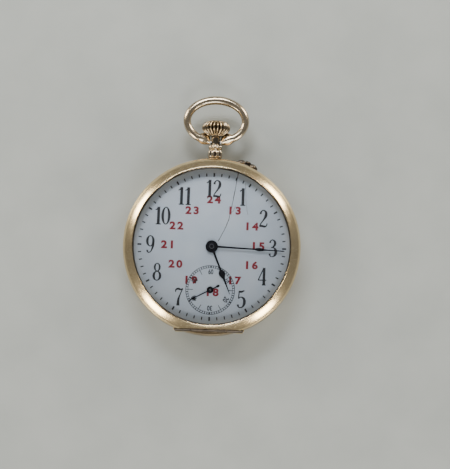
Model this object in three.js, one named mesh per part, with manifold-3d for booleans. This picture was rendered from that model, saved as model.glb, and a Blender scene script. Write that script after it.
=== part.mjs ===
// An open face pocket watch, crown wound and pin set, built piece by piece.
// Millimetres. The watch lies on its back: +Z out of the dial, +Y towards 12 o'clock and the bow.
// The origin is the middle of the flat that the back rests on, under the axis of the hands.
import * as THREE from "three";
import { mergeVertices } from "three/addons/utils/BufferGeometryUtils.js";
import Module from "manifold-3d";

const wasm = await Module();
wasm.setup();

// ---------------------------------------------------------------- driving dimensions

const gap = 0.05; // between pieces that meet face to face, and round a running fit
const ringSides = 40; // facets round the case pieces
const wheelSides = 16; // facets round drums, bosses and recesses
const smallSides = 8; // facets round arbors, screws and pins
const drumSides = 24; // facets round the barrel
const balanceSides = 32; // facets round the balance
const past = 1; // how far a cutting solid reaches past the material

// Case
const movementRadius = 21.43; // a 19 ligne plate
const caseWall = 2.82; // from the plate's edge to the widest point of the band
const restFlatRadius = 9;
const backDepth = 3;
const coverWall = 0.45;
const dustCoverWall = 0.35;
const bezelHeight = 2.7;
const crystalRise = 1.9;
const crystalWall = 0.5;

// Movement, from the dial down
const dialThickness = 0.7;
const plateThickness = 1.5;
const motionRecess = 0.65;
const centreRecess = 0.5;
const trainHeight = 2.1;
const bridgeThickness = 1;

// Going train: teeth and modules
const barrelTeeth = 72;
const centreLeaves = 12;
const barrelModule = 0.22;
const centreTeeth = 64;
const thirdLeaves = 8;
const centreModule = 0.2;
const thirdTeeth = 60;
const fourthLeaves = 8;
const thirdModule = 0.175;
const fourthTeeth = 60;
const escapeLeaves = 6;
const fourthModule = 0.16;
const escapeTeeth = 15;
const escapeRadius = 3.3;
const secondsDrop = 11.8; // seconds axis below the hands' axis
const barrelAngle = 48; // degrees, anticlockwise from 3 o'clock
const escapeAngle = 155; // degrees, of the escape axis round the seconds axis

// Motion work
const cannonLeaves = 10;
const minuteTeeth = 30;
const minuteLeaves = 8;
const hourTeeth = 32;
const settingTeeth = 45;
const motionModule = 0.17;

// Winding
const crownTeeth = 35;
const ratchetTeeth = 50;
const pinionLeaves = 14;
const pinionRadius = 2;
const stemRadius = 0.6;
const stemSquare = 0.8;
const clutchRadius = 1.45;

// Balance
const balanceRadius = 7.9;
const balanceX = -11.3;
const balanceY = -3.3;

// Pendant, bow and crown
const pendantHeight = 3.55; // from the band to the top of the beaded ring
const pivotRise = 1.35; // from there to the bow's pivots
const crownRise = 1.55; // from there to the underside of the crown
const crownHeight = 4.35;
const crownRadius = 3.84;
const crownRibs = 22;
const neckRadius = 1.35;
const bowHalfWidth = 9.15;
const bowReach = 12.7; // pivot to the outside of the ring's top
const bowWire = 1.05; // radius
const bowScrewRadius = 0.4;

// Hinges
const hingeHalfLength = 9.3;
const hingeTube = 0.65; // radius
const hingePin = 0.25; // radius
const pocketGap = 0.12; // round a tube that turns in its pocket

// Pin-set pusher
const pusherAngle = 21.3; // degrees clockwise of 12 o'clock
const pusherTravel = 0.6;
const pusherRod = 0.45; // radius

// ---------------------------------------------------------------- derived sizes

const caseRadius = movementRadius + caseWall;
const seatRadius = movementRadius + gap + 0.02;
const dialRadius = movementRadius + 0.37;
const openingRadius = movementRadius - 0.13;
const beadTop = caseRadius + gap + pendantHeight; // along Y, like the two below
const bowPivotY = beadTop + pivotRise;
const crownBottom = bowPivotY + crownRise;
const bandBottom = backDepth + gap;
const bridgeBottom = bandBottom + 0.15;
const bridgeTop = bridgeBottom + bridgeThickness;
const crownWheelTop = bridgeBottom + 0.4;
const stemZ = crownWheelTop + 0.1 + pinionRadius;
// The plate clears the train and the pusher's rod, whichever reaches higher.
const plateBottom = Math.max(bridgeTop + trainHeight, stemZ + pusherRod + 0.15);
// The plate is as thick as its own size says, or reaches over the winding pinion if that needs more.
const plateTop = Math.max(plateBottom + plateThickness, stemZ + pinionRadius + 0.1);
const dialBottom = plateTop + gap;
const dialTop = dialBottom + dialThickness;
const bandTop = dialTop;
const bezelBottom = bandTop + 0.1;
const bezelTop = bezelBottom + bezelHeight;
const motionFloor = plateTop - motionRecess;
const centreCeiling = plateBottom + centreRecess;
const hingeY = -(dialRadius + 0.15 + hingeTube);
const bezelHingeZ = bandTop + gap;
const backHingeZ = bandBottom - 0.02;
const ratchetTop = bridgeBottom - gap;
const ratchetThickness = 0.35;
const cockTop = bridgeBottom - 0.25;
const cockBottom = cockTop - 0.5;
const handGap = 0.45;

const polar = (radius, degrees) => new THREE.Vector2(
  radius * Math.cos(THREE.MathUtils.degToRad(degrees)),
  radius * Math.sin(THREE.MathUtils.degToRad(degrees)),
);
const pairDistance = (a, b, module) => ((a + b) * module) / 2;

// Axes of the train in plan
const centreAt = new THREE.Vector2(0, 0);
const barrelAt = polar(pairDistance(barrelTeeth, centreLeaves, barrelModule), barrelAngle);
const fourthAt = new THREE.Vector2(0, -secondsDrop);
const thirdAt = meetingPoint(
  pairDistance(centreTeeth, thirdLeaves, centreModule),
  pairDistance(thirdTeeth, fourthLeaves, thirdModule),
);
const escapeAt = polar(pairDistance(fourthTeeth, escapeLeaves, fourthModule), escapeAngle).add(fourthAt);
const balanceAt = new THREE.Vector2(balanceX, balanceY);
const forkLine = balanceAt.clone().sub(escapeAt).normalize();
const palletAt = escapeAt.clone().addScaledVector(forkLine, escapeRadius + 1);
const motionStep = pairDistance(cannonLeaves, minuteTeeth, motionModule);
const minuteAt = new THREE.Vector2(0, motionStep);
const settingAt = new THREE.Vector2(0, motionStep + pairDistance(minuteTeeth, settingTeeth, motionModule));

// Winding wheels: the crown wheel reaches over the winding pinion and meshes with the ratchet wheel.
const pinionOuterY = movementRadius - 1.85;
const pinionInnerY = pinionOuterY - 2;
const clutchInnerY = pinionInnerY - 2.3;
const windingModule = windingFit(pinionOuterY - 0.3);
const crownWheelAt = new THREE.Vector2(0, pinionOuterY - 0.3 - (crownTeeth * windingModule) / 2);

// The corner of the triangle whose other corners are the hands' axis and the seconds axis.
function meetingPoint(fromCentre, fromFourth) {
  const down = (fromCentre ** 2 - fromFourth ** 2 + secondsDrop ** 2) / (2 * secondsDrop);
  return new THREE.Vector2(Math.sqrt(fromCentre ** 2 - down ** 2), -down);
}

// The module that closes the winding train between the barrel's axis and the pinion's far edge.
function windingFit(edgeY) {
  const rise = edgeY - barrelAt.y;
  const sum = (crownTeeth + ratchetTeeth) / 2;
  const own = crownTeeth / 2;
  const a = sum ** 2 - own ** 2;
  const b = 2 * own * rise;
  const c = -(barrelAt.x ** 2 + rise ** 2);
  return (-b + Math.sqrt(b ** 2 - 4 * a * c)) / (2 * a);
}

// ---------------------------------------------------------------- solids

// A closed geometry as a manifold solid, facing out.
function toSolid(geometry) {
  const bare = geometry.index ? geometry.toNonIndexed() : geometry.clone();
  bare.deleteAttribute("normal");
  bare.deleteAttribute("uv");
  const merged = mergeVertices(bare, 1e-4);
  const corners = merged.index.array;
  const kept = [];
  for (let i = 0; i < corners.length; i += 3) {
    const [a, b, c] = corners.slice(i, i + 3);
    if (a !== b && b !== c && c !== a) kept.push(a, b, c);
  }
  const mesh = (order) => new wasm.Manifold(
    new wasm.Mesh({
      numProp: 3,
      vertProperties: merged.attributes.position.array,
      triVerts: new Uint32Array(order),
    }),
  );
  const solid = mesh(kept);
  if (solid.volume() > 0) return solid;
  return mesh(kept.reverse());
}

function toGeometry(solid) {
  const mesh = solid.getMesh();
  const geometry = new THREE.BufferGeometry();
  geometry.setAttribute("position", new THREE.BufferAttribute(new Float32Array(mesh.vertProperties), 3));
  geometry.setIndex(new THREE.BufferAttribute(new Uint32Array(mesh.triVerts), 1));
  return geometry;
}

const combine = (how, first, others) =>
  toGeometry(others.reduce((solid, next) => solid[how](toSolid(next)), toSolid(first)));
const join = (first, ...others) => combine("add", first, others);
const cut = (first, ...others) => combine("subtract", first, others);
const common = (first, ...others) => combine("intersect", first, others);

// A profile of [radius, height] points turned about the Z axis.
function turned(profile, sides = ringSides) {
  const points = profile.map(([r, z]) => new THREE.Vector2(r, z));
  return toGeometry(toSolid(new THREE.LatheGeometry(points, sides).rotateX(Math.PI / 2)));
}

// The same, closed on itself for a ring.
const turnedRing = (profile, sides) => turned([...profile, profile[0]], sides);

// A profile of [radius, distance from the hands' axis] points turned about the stem's axis.
function turnedOnStem(profile, sides = ringSides) {
  const points = profile.map(([r, y]) => new THREE.Vector2(r, y));
  const geometry = new THREE.LatheGeometry(points, sides).translate(0, 0, stemZ);
  return toGeometry(toSolid(geometry));
}

// A rod on the stem's axis, from the hands' axis outwards, for cutting a bore.
const stemBore = (radius, end) => turnedOnStem([[0, 0], [radius, 0], [radius, end], [0, end]], smallSides);

// An outline in plan, raised from one height to another.
function raised(shape, bottom, top) {
  const geometry = new THREE.ExtrudeGeometry(shape, {
    depth: top - bottom,
    bevelEnabled: false,
  });
  return toGeometry(toSolid(geometry.translate(0, 0, bottom)));
}

function disc(radius, bottom, top, at = centreAt, sides = smallSides) {
  const geometry = new THREE.CylinderGeometry(radius, radius, top - bottom, sides);
  return geometry.rotateX(Math.PI / 2).translate(at.x, at.y, (bottom + top) / 2);
}

function block(low, high) {
  const size = high.map((value, i) => value - low[i]);
  const middle = high.map((value, i) => (value + low[i]) / 2);
  return new THREE.BoxGeometry(...size).translate(...middle);
}

// A rod along X at the given y and z.
function crossRod(radius, from, to, y, z, sides = smallSides) {
  const geometry = new THREE.CylinderGeometry(radius, radius, to - from, sides);
  return geometry.rotateZ(Math.PI / 2).translate((from + to) / 2, y, z);
}

// A rod along the radius at the pusher's angle, between two distances from the hands' axis.
function radialRod(radius, from, to, sides = smallSides) {
  const geometry = new THREE.CylinderGeometry(radius, radius, to - from, sides);
  geometry.translate(0, (from + to) / 2, stemZ);
  return geometry.rotateZ(-THREE.MathUtils.degToRad(pusherAngle));
}

// Two rods or blocks, one each side of the middle of the watch.
const mirrored = (make) => [make(-1), make(1)];

const polygon = (points) => new THREE.Shape(points.map(([x, y]) => new THREE.Vector2(x, y)));

function circlePath(radius, sides) {
  const points = [];
  for (let i = 0; i < sides; i++) points.push(polar(radius, (360 * i) / sides));
  return new THREE.Shape(points);
}

// ---------------------------------------------------------------- toothed wheels

const towards = (from, to) => Math.atan2(to.y - from.y, to.x - from.x);

// A toothed outline. A tooth points along aim, or with gapAtAim a space does.
function toothed(teeth, module, at, aim, gapAtAim = false) {
  const pitch = (teeth * module) / 2;
  const tip = pitch + 0.68 * module;
  const root = pitch - 0.95 * module;
  const step = (2 * Math.PI) / teeth;
  const start = aim + (gapAtAim ? step / 2 : 0);
  const points = [];
  for (let i = 0; i < teeth; i++) {
    const angle = start + i * step;
    points.push(new THREE.Vector2(tip * Math.cos(angle), tip * Math.sin(angle)).add(at));
    const next = angle + step / 2;
    points.push(new THREE.Vector2(root * Math.cos(next), root * Math.sin(next)).add(at));
  }
  return new THREE.Shape(points);
}

// The windows between a wheel's arms.
function windows(inner, outer, arms, at, aim = 0) {
  const armHalf = 0.32;
  const found = [];
  for (let i = 0; i < arms; i++) {
    const from = aim + (2 * Math.PI * i) / arms;
    const to = from + (2 * Math.PI) / arms;
    const points = [];
    for (const [radius, order] of [[outer, 1], [inner, -1]]) {
      const trim = Math.asin(armHalf / radius);
      const steps = radius === outer ? 3 : 1;
      const a = order > 0 ? from + trim : to - trim;
      const b = order > 0 ? to - trim : from + trim;
      for (let k = 0; k <= steps; k++) {
        const angle = a + ((b - a) * k) / steps;
        points.push(new THREE.Vector2(radius * Math.cos(angle), radius * Math.sin(angle)).add(at));
      }
    }
    found.push(new THREE.Path(points));
  }
  return found;
}

// A crossed-out wheel: toothed rim, arms and a hub that is left for the arbor.
function crossedWheel({ teeth, module, at, aim, bottom, top, arms = 4 }) {
  const shape = toothed(teeth, module, at, aim);
  const rim = (teeth * module) / 2 - 0.95 * module - 0.55;
  shape.holes.push(...windows(1.1, rim, arms, at));
  return raised(shape, bottom, top);
}

// ---------------------------------------------------------------- case

// Rods on a hinge's axis, one each side of its middle, between two distances from it.
const hingeRods = (radius, from, to, z) => mirrored((side) =>
  crossRod(radius, Math.min(side * from, side * to), Math.max(side * from, side * to), hingeY, z));

const knuckles = (from, to, z) => hingeRods(hingeTube, from, to, z);

const knucklePockets = (from, to, z) => hingeRods(hingeTube + pocketGap, from, to, z);

const pinHole = (z) =>
  crossRod(hingePin + gap + 0.03, -hingeHalfLength - past, hingeHalfLength + past, hingeY, z);

const bezelKnuckle = hingeHalfLength / 2; // the band's own knuckle ends here
const backKnuckle = hingeHalfLength / 3;
const dustKnuckle = (2 * hingeHalfLength) / 3;

function midCase() {
  const bulge = bandBottom + (bandTop - bandBottom) / 2;
  const band = turnedRing([
    [caseRadius - 0.65, bandBottom],
    [caseRadius - 0.15, bandBottom + 1.1],
    [caseRadius, bulge],
    [caseRadius - 0.15, bandTop - 1.1],
    [caseRadius - 0.5, bandTop],
    [dialRadius + gap + 0.02, bandTop],
    [dialRadius + gap + 0.02, plateTop - 0.75],
    [seatRadius, plateTop - 0.75],
    [seatRadius, bandBottom],
  ]);
  const middleKnuckles = [
    crossRod(hingeTube, -bezelKnuckle + gap, bezelKnuckle - gap, hingeY, bezelHingeZ),
    crossRod(hingeTube, -backKnuckle + gap, backKnuckle - gap, hingeY, backHingeZ),
  ];
  return cut(
    join(band, ...middleKnuckles),
    ...knucklePockets(bezelKnuckle, hingeHalfLength + past, bezelHingeZ),
    ...knucklePockets(backKnuckle, hingeHalfLength + past, backHingeZ),
    pinHole(bezelHingeZ),
    pinHole(backHingeZ),
    stemBore(stemRadius + 0.15, caseRadius + past),
    radialRod(pusherRod + 0.17, movementRadius - past, caseRadius + past),
  );
}

function bezel() {
  const lip = openingRadius;
  const groove = openingRadius + 0.55;
  const grooveBottom = bezelBottom + 1.3;
  const ring = turnedRing([
    [caseRadius - 0.35, bezelBottom],
    [caseRadius - 0.15, bezelBottom + 0.6],
    [caseRadius - 0.3, bezelBottom + 1.4],
    [caseRadius - 0.85, bezelTop - 0.4],
    [caseRadius - 1.65, bezelTop],
    [lip + 0.5, bezelTop - 0.08],
    [lip, bezelTop - 0.45],
    [lip, grooveBottom + 0.6],
    [groove, grooveBottom + 0.5],
    [groove, grooveBottom],
    [lip, grooveBottom - 0.1],
    [lip, bezelBottom],
  ]);
  const lean = 0.14;
  const farSide = polygon([
    [hingeY, bandBottom],
    [hingeY, bezelHingeZ],
    [hingeY + lean * (bezelTop - bezelHingeZ + 1), bezelTop + past],
    [-caseRadius - 2, bezelTop + past],
    [-caseRadius - 2, bandBottom],
  ]);
  const chord = new THREE.ExtrudeGeometry(farSide, { depth: 2 * caseRadius, bevelEnabled: false });
  chord.rotateY(Math.PI / 2).rotateX(Math.PI / 2).translate(-caseRadius, 0, 0);
  return cut(
    join(cut(ring, chord), ...knuckles(bezelKnuckle + gap, hingeHalfLength, bezelHingeZ)),
    crossRod(hingeTube + pocketGap, -bezelKnuckle, bezelKnuckle, hingeY, bezelHingeZ),
    pinHole(bezelHingeZ),
  );
}

// Points of a dome from its rim to its top, or back.
function dome(rimRadius, rimZ, rise, steps) {
  const points = [];
  for (let i = 0; i <= steps; i++) {
    const share = 1 - i / steps;
    points.push([rimRadius * share, rimZ + rise * (1 - share ** 2)]);
  }
  return points;
}

function crystal() {
  const seatZ = bezelBottom + 1.3 + gap;
  const edge = openingRadius + 0.55 - gap - 0.02;
  const inside = openingRadius - gap - 0.02;
  return turned([
    ...dome(inside, seatZ + 0.4 - crystalWall + 0.1, crystalRise, 4).reverse(),
    [edge, seatZ],
    [edge, seatZ + 0.4],
    ...dome(inside, seatZ + 0.5, crystalRise, 4),
  ], ringSides - 8);
}

// The tabs that carry the back cover's knuckles, or with a clearance the notches that they need.
const backTabs = (clearance) => mirrored((side) => {
  const ends = [side * (dustKnuckle + gap - clearance), side * (hingeHalfLength + clearance)];
  return block(
    [Math.min(...ends), hingeY + 0.2 - clearance, backHingeZ - 0.85 - clearance],
    [Math.max(...ends), hingeY + hingeTube + 0.15 + clearance, backDepth - 0.1 + clearance],
  );
});

function backCover() {
  const rimInner = movementRadius + 1.32;
  const shell = turned([
    [0, 0],
    [restFlatRadius, 0],
    [movementRadius - 5.4, 0.12 * backDepth],
    [movementRadius - 0.9, 0.32 * backDepth],
    [movementRadius + 1.2, 0.54 * backDepth],
    [caseRadius - 0.55, 0.8 * backDepth],
    [caseRadius - 0.35, backDepth],
    [rimInner, backDepth],
    [rimInner, 0.54 * backDepth + coverWall + 0.03],
    [movementRadius - 0.9, 0.32 * backDepth + coverWall + 0.03],
    [movementRadius - 5.4, 0.12 * backDepth + coverWall],
    [restFlatRadius, coverWall],
    [0, coverWall],
  ]);
  const chord = block(
    [-caseRadius, -caseRadius - past, -past],
    [caseRadius, hingeY + hingeTube + 0.1, backDepth + past],
  );
  return cut(
    join(cut(shell, chord), ...backTabs(0), ...knuckles(dustKnuckle + gap, hingeHalfLength, backHingeZ)),
    pinHole(backHingeZ),
  );
}

function dustCover() {
  const rim = movementRadius + 1.17;
  const top = backDepth - gap;
  const shell = turned([
    [0, top - 1.55 - dustCoverWall],
    [movementRadius - 4.4, top - 1.25 - dustCoverWall],
    [rim - 1, top - 0.75 - dustCoverWall],
    [rim, top - 0.35],
    [rim, top],
    [rim - 0.7, top],
    [rim - 1.2, top - 0.75],
    [movementRadius - 4.4, top - 1.25],
    [0, top - 1.55],
  ]);
  return cut(
    join(shell, ...knuckles(backKnuckle + gap, dustKnuckle - gap, backHingeZ)),
    crossRod(hingeTube + pocketGap, -backKnuckle, backKnuckle, hingeY, backHingeZ),
    ...backTabs(gap),
    pinHole(backHingeZ),
  );
}

const hingePinRod = (z) => crossRod(hingePin, -hingeHalfLength + 0.1, hingeHalfLength - 0.1, hingeY, z);

// The pendant: lobed collar, waist and beaded ring, bored for the stem, with a neck between the bow's ears.
function pendant() {
  const foot = caseRadius + gap;
  const bore = stemRadius + 0.1;
  const outside = [
    [1.7, foot],
    [1.7, foot + 0.45],
    [2.05, foot + 0.7],
    [2.08, foot + 1.6],
    [1.62, beadTop - 1.2],
    [1.95, beadTop - 0.85],
    [2, beadTop - 0.4],
    [neckRadius, beadTop],
    [neckRadius, crownBottom - 0.25],
  ];
  const tube = turnedOnStem([
    ...outside,
    [bore, crownBottom - 0.25],
    [bore, foot],
    outside[0],
  ], wheelSides);
  const pivots = mirrored((side) => {
    const ends = [side * (bore + 0.12), side * 3];
    return crossRod(bowScrewRadius + gap, Math.min(...ends), Math.max(...ends), bowPivotY, stemZ);
  });
  return cut(tube, disc(caseRadius + gap, bandBottom, bandTop, centreAt, ringSides), ...pivots);
}

function bowScrew(side) {
  const ends = [side * (stemRadius + 0.3), side * 3];
  return crossRod(bowScrewRadius, Math.min(...ends), Math.max(...ends), bowPivotY, stemZ);
}

// The bow: an oval ring of round wire whose ends flare into ears on the pivot screws.
function bow() {
  const halfWidth = bowHalfWidth - bowWire;
  const halfHeight = 0.457 * bowReach;
  const middleY = bowPivotY + bowReach - bowWire - halfHeight;
  const earX = 5;
  const start = Math.asin(earX / halfWidth);
  const route = new (class extends THREE.Curve {
    getPoint(t, target = new THREE.Vector3()) {
      const angle = start + t * 2 * (Math.PI - start);
      return target.set(halfWidth * Math.sin(angle), middleY - halfHeight * Math.cos(angle), stemZ);
    }
  })();
  const wire = new THREE.ExtrudeGeometry(circlePath(bowWire, smallSides), { steps: 26, extrudePath: route });
  const jointY = middleY - halfHeight * Math.cos(start);
  const ear = polygon([
    [neckRadius + 0.1, bowPivotY - 0.6],
    [2.1, bowPivotY - 0.6],
    [earX + 0.2, jointY - bowWire],
    [earX + 0.2, jointY + bowWire],
    [3.9, bowPivotY + 2.5],
    [3, bowPivotY + 1.55],
    [neckRadius + 0.1, bowPivotY + 0.7],
  ]);
  const ears = mirrored((side) => raised(ear, -bowWire, bowWire)
    .rotateY(side > 0 ? 0 : Math.PI)
    .translate(0, 0, stemZ));
  return cut(join(wire, ...ears), crossRod(bowScrewRadius + 0.07, -3.2, 3.2, bowPivotY, stemZ));
}

function crown() {
  const ribbed = [];
  for (let i = 0; i < crownRibs; i++) {
    ribbed.push(polar(crownRadius, (360 * i) / crownRibs));
    ribbed.push(polar(crownRadius - 0.35, (360 * (i + 0.5)) / crownRibs));
  }
  const fluted = raised(new THREE.Shape(ribbed), 0, crownHeight);
  fluted.rotateX(-Math.PI / 2).translate(0, crownBottom, stemZ);
  const hull = turnedOnStem([
    [0, crownBottom],
    [2.05, crownBottom],
    [2.9, crownBottom + 0.15 * crownHeight],
    [crownRadius - 0.1, crownBottom + 0.36 * crownHeight],
    [crownRadius + 0.05, crownBottom + 0.6 * crownHeight],
    [crownRadius - 0.6, crownBottom + 0.87 * crownHeight],
    [1.5, crownBottom + crownHeight],
    [0, crownBottom + crownHeight],
  ], crownRibs);
  const bore = turnedOnStem([
    [0, crownBottom - past],
    [stemRadius + gap, crownBottom - past],
    [stemRadius + gap, crownBottom + 2.7],
    [0, crownBottom + 2.7],
  ], smallSides);
  return cut(common(fluted, hull), bore);
}

function windingStem() {
  const half = stemSquare / 2;
  const round = turnedOnStem([
    [0, pinionInnerY],
    [stemRadius, pinionInnerY],
    [stemRadius, crownBottom + 2.6],
    [0, crownBottom + 2.6],
  ], smallSides);
  const square = block(
    [-half, clutchInnerY - 1.6, stemZ - half],
    [half, pinionInnerY + 0.5, stemZ + half],
  );
  return join(round, square);
}

// A pinion on the stem's axis, with straight leaves.
function stemGear(radius, depth, leaves, inner, outer) {
  const points = [];
  for (let i = 0; i < leaves; i++) {
    points.push(polar(radius, (360 * i) / leaves));
    points.push(polar(radius - depth, (360 * (i + 0.5)) / leaves));
  }
  return raised(new THREE.Shape(points), inner, outer).rotateX(-Math.PI / 2).translate(0, 0, stemZ);
}

function windingPinion() {
  const gear = stemGear(pinionRadius, 0.4, pinionLeaves, pinionInnerY, pinionOuterY);
  return cut(gear, stemBore(stemRadius + gap, caseRadius));
}

const grooveY = clutchInnerY + 0.9;

function clutchWheel() {
  const body = turnedOnStem([
    [0, clutchInnerY],
    [clutchRadius, clutchInnerY],
    [clutchRadius, grooveY - 0.3],
    [0.95, grooveY - 0.3],
    [0.95, grooveY + 0.3],
    [clutchRadius, grooveY + 0.3],
    [clutchRadius, pinionInnerY - 0.25],
    [0, pinionInnerY - 0.25],
  ], wheelSides);
  const half = stemSquare / 2 + gap;
  return cut(body, block([-half, 0, stemZ - half], [half, caseRadius, stemZ + half]));
}

// ---------------------------------------------------------------- pin setting

function pusherGuard() {
  const base = block([-2.9, caseRadius - 0.8, stemZ - 1.5], [2.9, caseRadius + 0.6, stemZ + 1.5]);
  const lobes = mirrored((side) =>
    disc(0.95, stemZ - 1.5, stemZ + 1.5, new THREE.Vector2(side * 1.9, caseRadius + 0.55)));
  const made = join(base, ...lobes).rotateZ(-THREE.MathUtils.degToRad(pusherAngle));
  return cut(
    made,
    disc(caseRadius + gap, bandBottom, bandTop, centreAt, ringSides),
    radialRod(0.85, caseRadius - past, caseRadius + 3),
  );
}

const pusherInner = movementRadius - 1.08;

function settingPusher() {
  return join(
    radialRod(pusherRod, pusherInner, caseRadius + 1.2),
    radialRod(0.75, caseRadius + gap + pusherTravel + 0.3, caseRadius + 1.55),
  );
}

const leverPivot = new THREE.Vector2(10.9, grooveY);
const leverContact = polar(pusherInner - 0.65, 90 - pusherAngle);

// The lever that the pusher swings, with its tip in the clutch's groove.
function settingLever() {
  const elbow = new THREE.Vector2(3.9, grooveY + 0.95);
  const route = [leverPivot, leverContact, elbow, new THREE.Vector2(1.9, grooveY)];
  const bottom = stemZ - 0.35;
  const top = stemZ + 0.35;
  const bars = route.slice(1).map((end, i) => bar(route[i], end, i === 2 ? 0.35 : 0.5, bottom, top));
  const tip = block([1.1, grooveY - 0.18, bottom], [2.1, grooveY + 0.18, top]);
  const bends = route.slice(0, 3).map((point, i) => disc(i === 0 ? 0.85 : 0.5, bottom, top, point));
  const pivotStud = disc(0.3, top - 0.1, plateBottom - gap, leverPivot);
  return join(bars[0], bars[1], bars[2], tip, ...bends, pivotStud);
}

// A flat bar between two points in plan.
function bar(from, to, halfWidth, bottom, top) {
  const length = from.distanceTo(to);
  return new THREE.BoxGeometry(length, 2 * halfWidth, top - bottom)
    .rotateZ(towards(from, to))
    .translate((from.x + to.x) / 2, (from.y + to.y) / 2, (bottom + top) / 2);
}

// ---------------------------------------------------------------- plates and bridges

const footOuter = movementRadius - 0.23;
const footInner = footOuter - 2.6;

// A foot that stands between a bridge and the plate, along part of the plate's edge.
function rimFoot(fromAngle, toAngle) {
  const steps = 8;
  const arc = (radius) => Array.from({ length: steps + 1 }, (_, i) =>
    polar(radius, fromAngle + ((toAngle - fromAngle) * i) / steps));
  const shape = new THREE.Shape([...arc(footOuter), ...arc(footInner).reverse()]);
  return raised(shape, bridgeTop - 0.2, plateBottom - gap);
}

const keylessHalf = pinionRadius + 0.25;

function mainPlate() {
  const plate = turned([
    [0, plateBottom],
    [movementRadius, plateBottom],
    [movementRadius, plateTop - 0.75],
    [dialRadius, plateTop - 0.7],
    [dialRadius, plateTop],
    [0, plateTop],
  ]);
  const keyless = block(
    [-keylessHalf, clutchInnerY - 2, bandBottom],
    [keylessHalf, dialRadius + past, plateTop + past],
  );
  const above = plateTop + 1;
  const below = plateBottom - 1;
  const recesses = [
    disc((hourTeeth * motionModule) / 2 + 0.45, motionFloor, above, centreAt, wheelSides),
    disc((minuteTeeth * motionModule) / 2 + 0.45, motionFloor, above, minuteAt, wheelSides),
    disc((settingTeeth * motionModule) / 2 + 0.45, motionFloor, above, settingAt, wheelSides),
    disc((centreTeeth * centreModule) / 2 + 0.5, below, centreCeiling, centreAt, drumSides),
    disc((thirdLeaves * centreModule) / 2 + 0.4, below, centreCeiling, thirdAt),
  ];
  const holes = [
    disc(0.45, below, above, centreAt),
    disc(0.3, below, above, fourthAt),
    disc(0.3, below, motionFloor, thirdAt),
    disc(0.3, below, motionFloor, escapeAt),
    disc(0.3, below, motionFloor, palletAt),
    disc(0.38, below, motionFloor, balanceAt),
    disc(0.75, below, motionFloor, barrelAt),
    disc(0.4, below, motionFloor, leverPivot),
    ...dialFeetAt.map((at) => disc(0.6, plateTop - 0.9, above, at)),
    ...caseScrewsAt.map((at) => disc(0.5, below, plateTop - 0.4, at)),
  ];
  return cut(plate, keyless, ...recesses, ...holes);
}

const dialFeetAt = [polar(movementRadius - 2.6, 20), polar(movementRadius - 2.6, 215)];
const caseScrewsAt = [polar(movementRadius - 1.2, 176), polar(movementRadius - 1.2, -3)];

function dial() {
  const plate = disc(dialRadius, dialBottom, dialTop, centreAt, ringSides);
  const feet = dialFeetAt.map((at) => disc(0.5, plateTop - 0.8, dialBottom + 0.1, at));
  const holes = [
    disc(1.3, dialBottom - past, dialTop + past, centreAt),
    disc(0.6, dialBottom - past, dialTop + past, fourthAt),
  ];
  return cut(join(plate, ...feet), ...holes);
}

const divideAt = (x, offset) => 1.65 + offset - 0.12 * x; // the joint line between the two bridges
const barrelScrewsAt = [polar(footOuter - 1.3, 27), polar(footOuter - 1.3, 128)];
const trainScrewsAt = [polar(footOuter - 1.3, -22), polar(footOuter - 1.3, -78)];
const screwHole = 0.62;

// The flat of a bridge: the part of the movement's disc that an outline covers.
const bridgeTopOver = (outline) => common(
  disc(footOuter, bridgeBottom, bridgeTop, centreAt, ringSides),
  raised(outline, bridgeBottom - past, bridgeTop + past),
);

function barrelBridge() {
  const reach = caseRadius;
  const half = polygon([
    [-reach, divideAt(-reach, 0.15)],
    [reach, divideAt(reach, 0.15)],
    [reach, reach],
    [-reach, reach],
  ]);
  const seatRim = (crownTeeth * windingModule) / 2 + 0.45;
  const crownSeat = disc(seatRim, bridgeBottom - past, crownWheelTop + gap, crownWheelAt, wheelSides);
  const pinionSlot = block(
    [-keylessHalf, pinionInnerY - 0.2, bridgeBottom - past],
    [keylessHalf, caseRadius, bridgeTop + past],
  );
  return cut(
    join(bridgeTopOver(half), rimFoot(10, 42), rimFoot(103, 160)),
    crownSeat,
    pinionSlot,
    disc(0.75, bridgeBottom - past, bridgeTop + past, barrelAt),
    disc(balanceRadius + 0.55, bridgeBottom - past, plateBottom + past, balanceAt, drumSides),
    ...barrelScrewsAt.map((at) => disc(screwHole, bridgeBottom - past, plateBottom - 0.4, at)),
    disc(0.35, bridgeBottom - past, bridgeTop - 0.3, clickAt),
    disc(0.5, crownWheelTop - past, bridgeTop - 0.15, crownWheelAt),
  );
}

function trainBridge() {
  const reach = caseRadius;
  const left = balanceX + 4.3;
  const outline = polygon([
    [left, -reach],
    [reach, -reach],
    [reach, divideAt(reach, -0.15)],
    [left, divideAt(left, -0.15)],
  ]);
  const pivots = [centreAt, thirdAt, fourthAt, escapeAt].map((at) =>
    disc(at === centreAt ? 0.42 : 0.3, bridgeBottom - past, bridgeTop + past, at));
  return cut(
    join(bridgeTopOver(outline), rimFoot(-92, -12)),
    disc(balanceRadius + 0.55, bridgeBottom - past, bridgeTop + past, balanceAt, drumSides),
    ...pivots,
    ...trainScrewsAt.map((at) => disc(screwHole, bridgeBottom - past, plateBottom - 0.4, at)),
  );
}

// A cheese-headed screw, head towards the back.
function screw(at, headBottom, end, shank = 0.55, head = 0.9, headHeight = 0.3) {
  return join(
    disc(shank, headBottom + headHeight - 0.05, end, at),
    cut(
      disc(head, headBottom, headBottom + headHeight, at),
      block([at.x - head, at.y - 0.12, headBottom - 1], [at.x + head, at.y + 0.12, headBottom + 0.12]),
    ),
  );
}

const cockFootAt = new THREE.Vector2(balanceX + 1.1, balanceY - 12.3);

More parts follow.
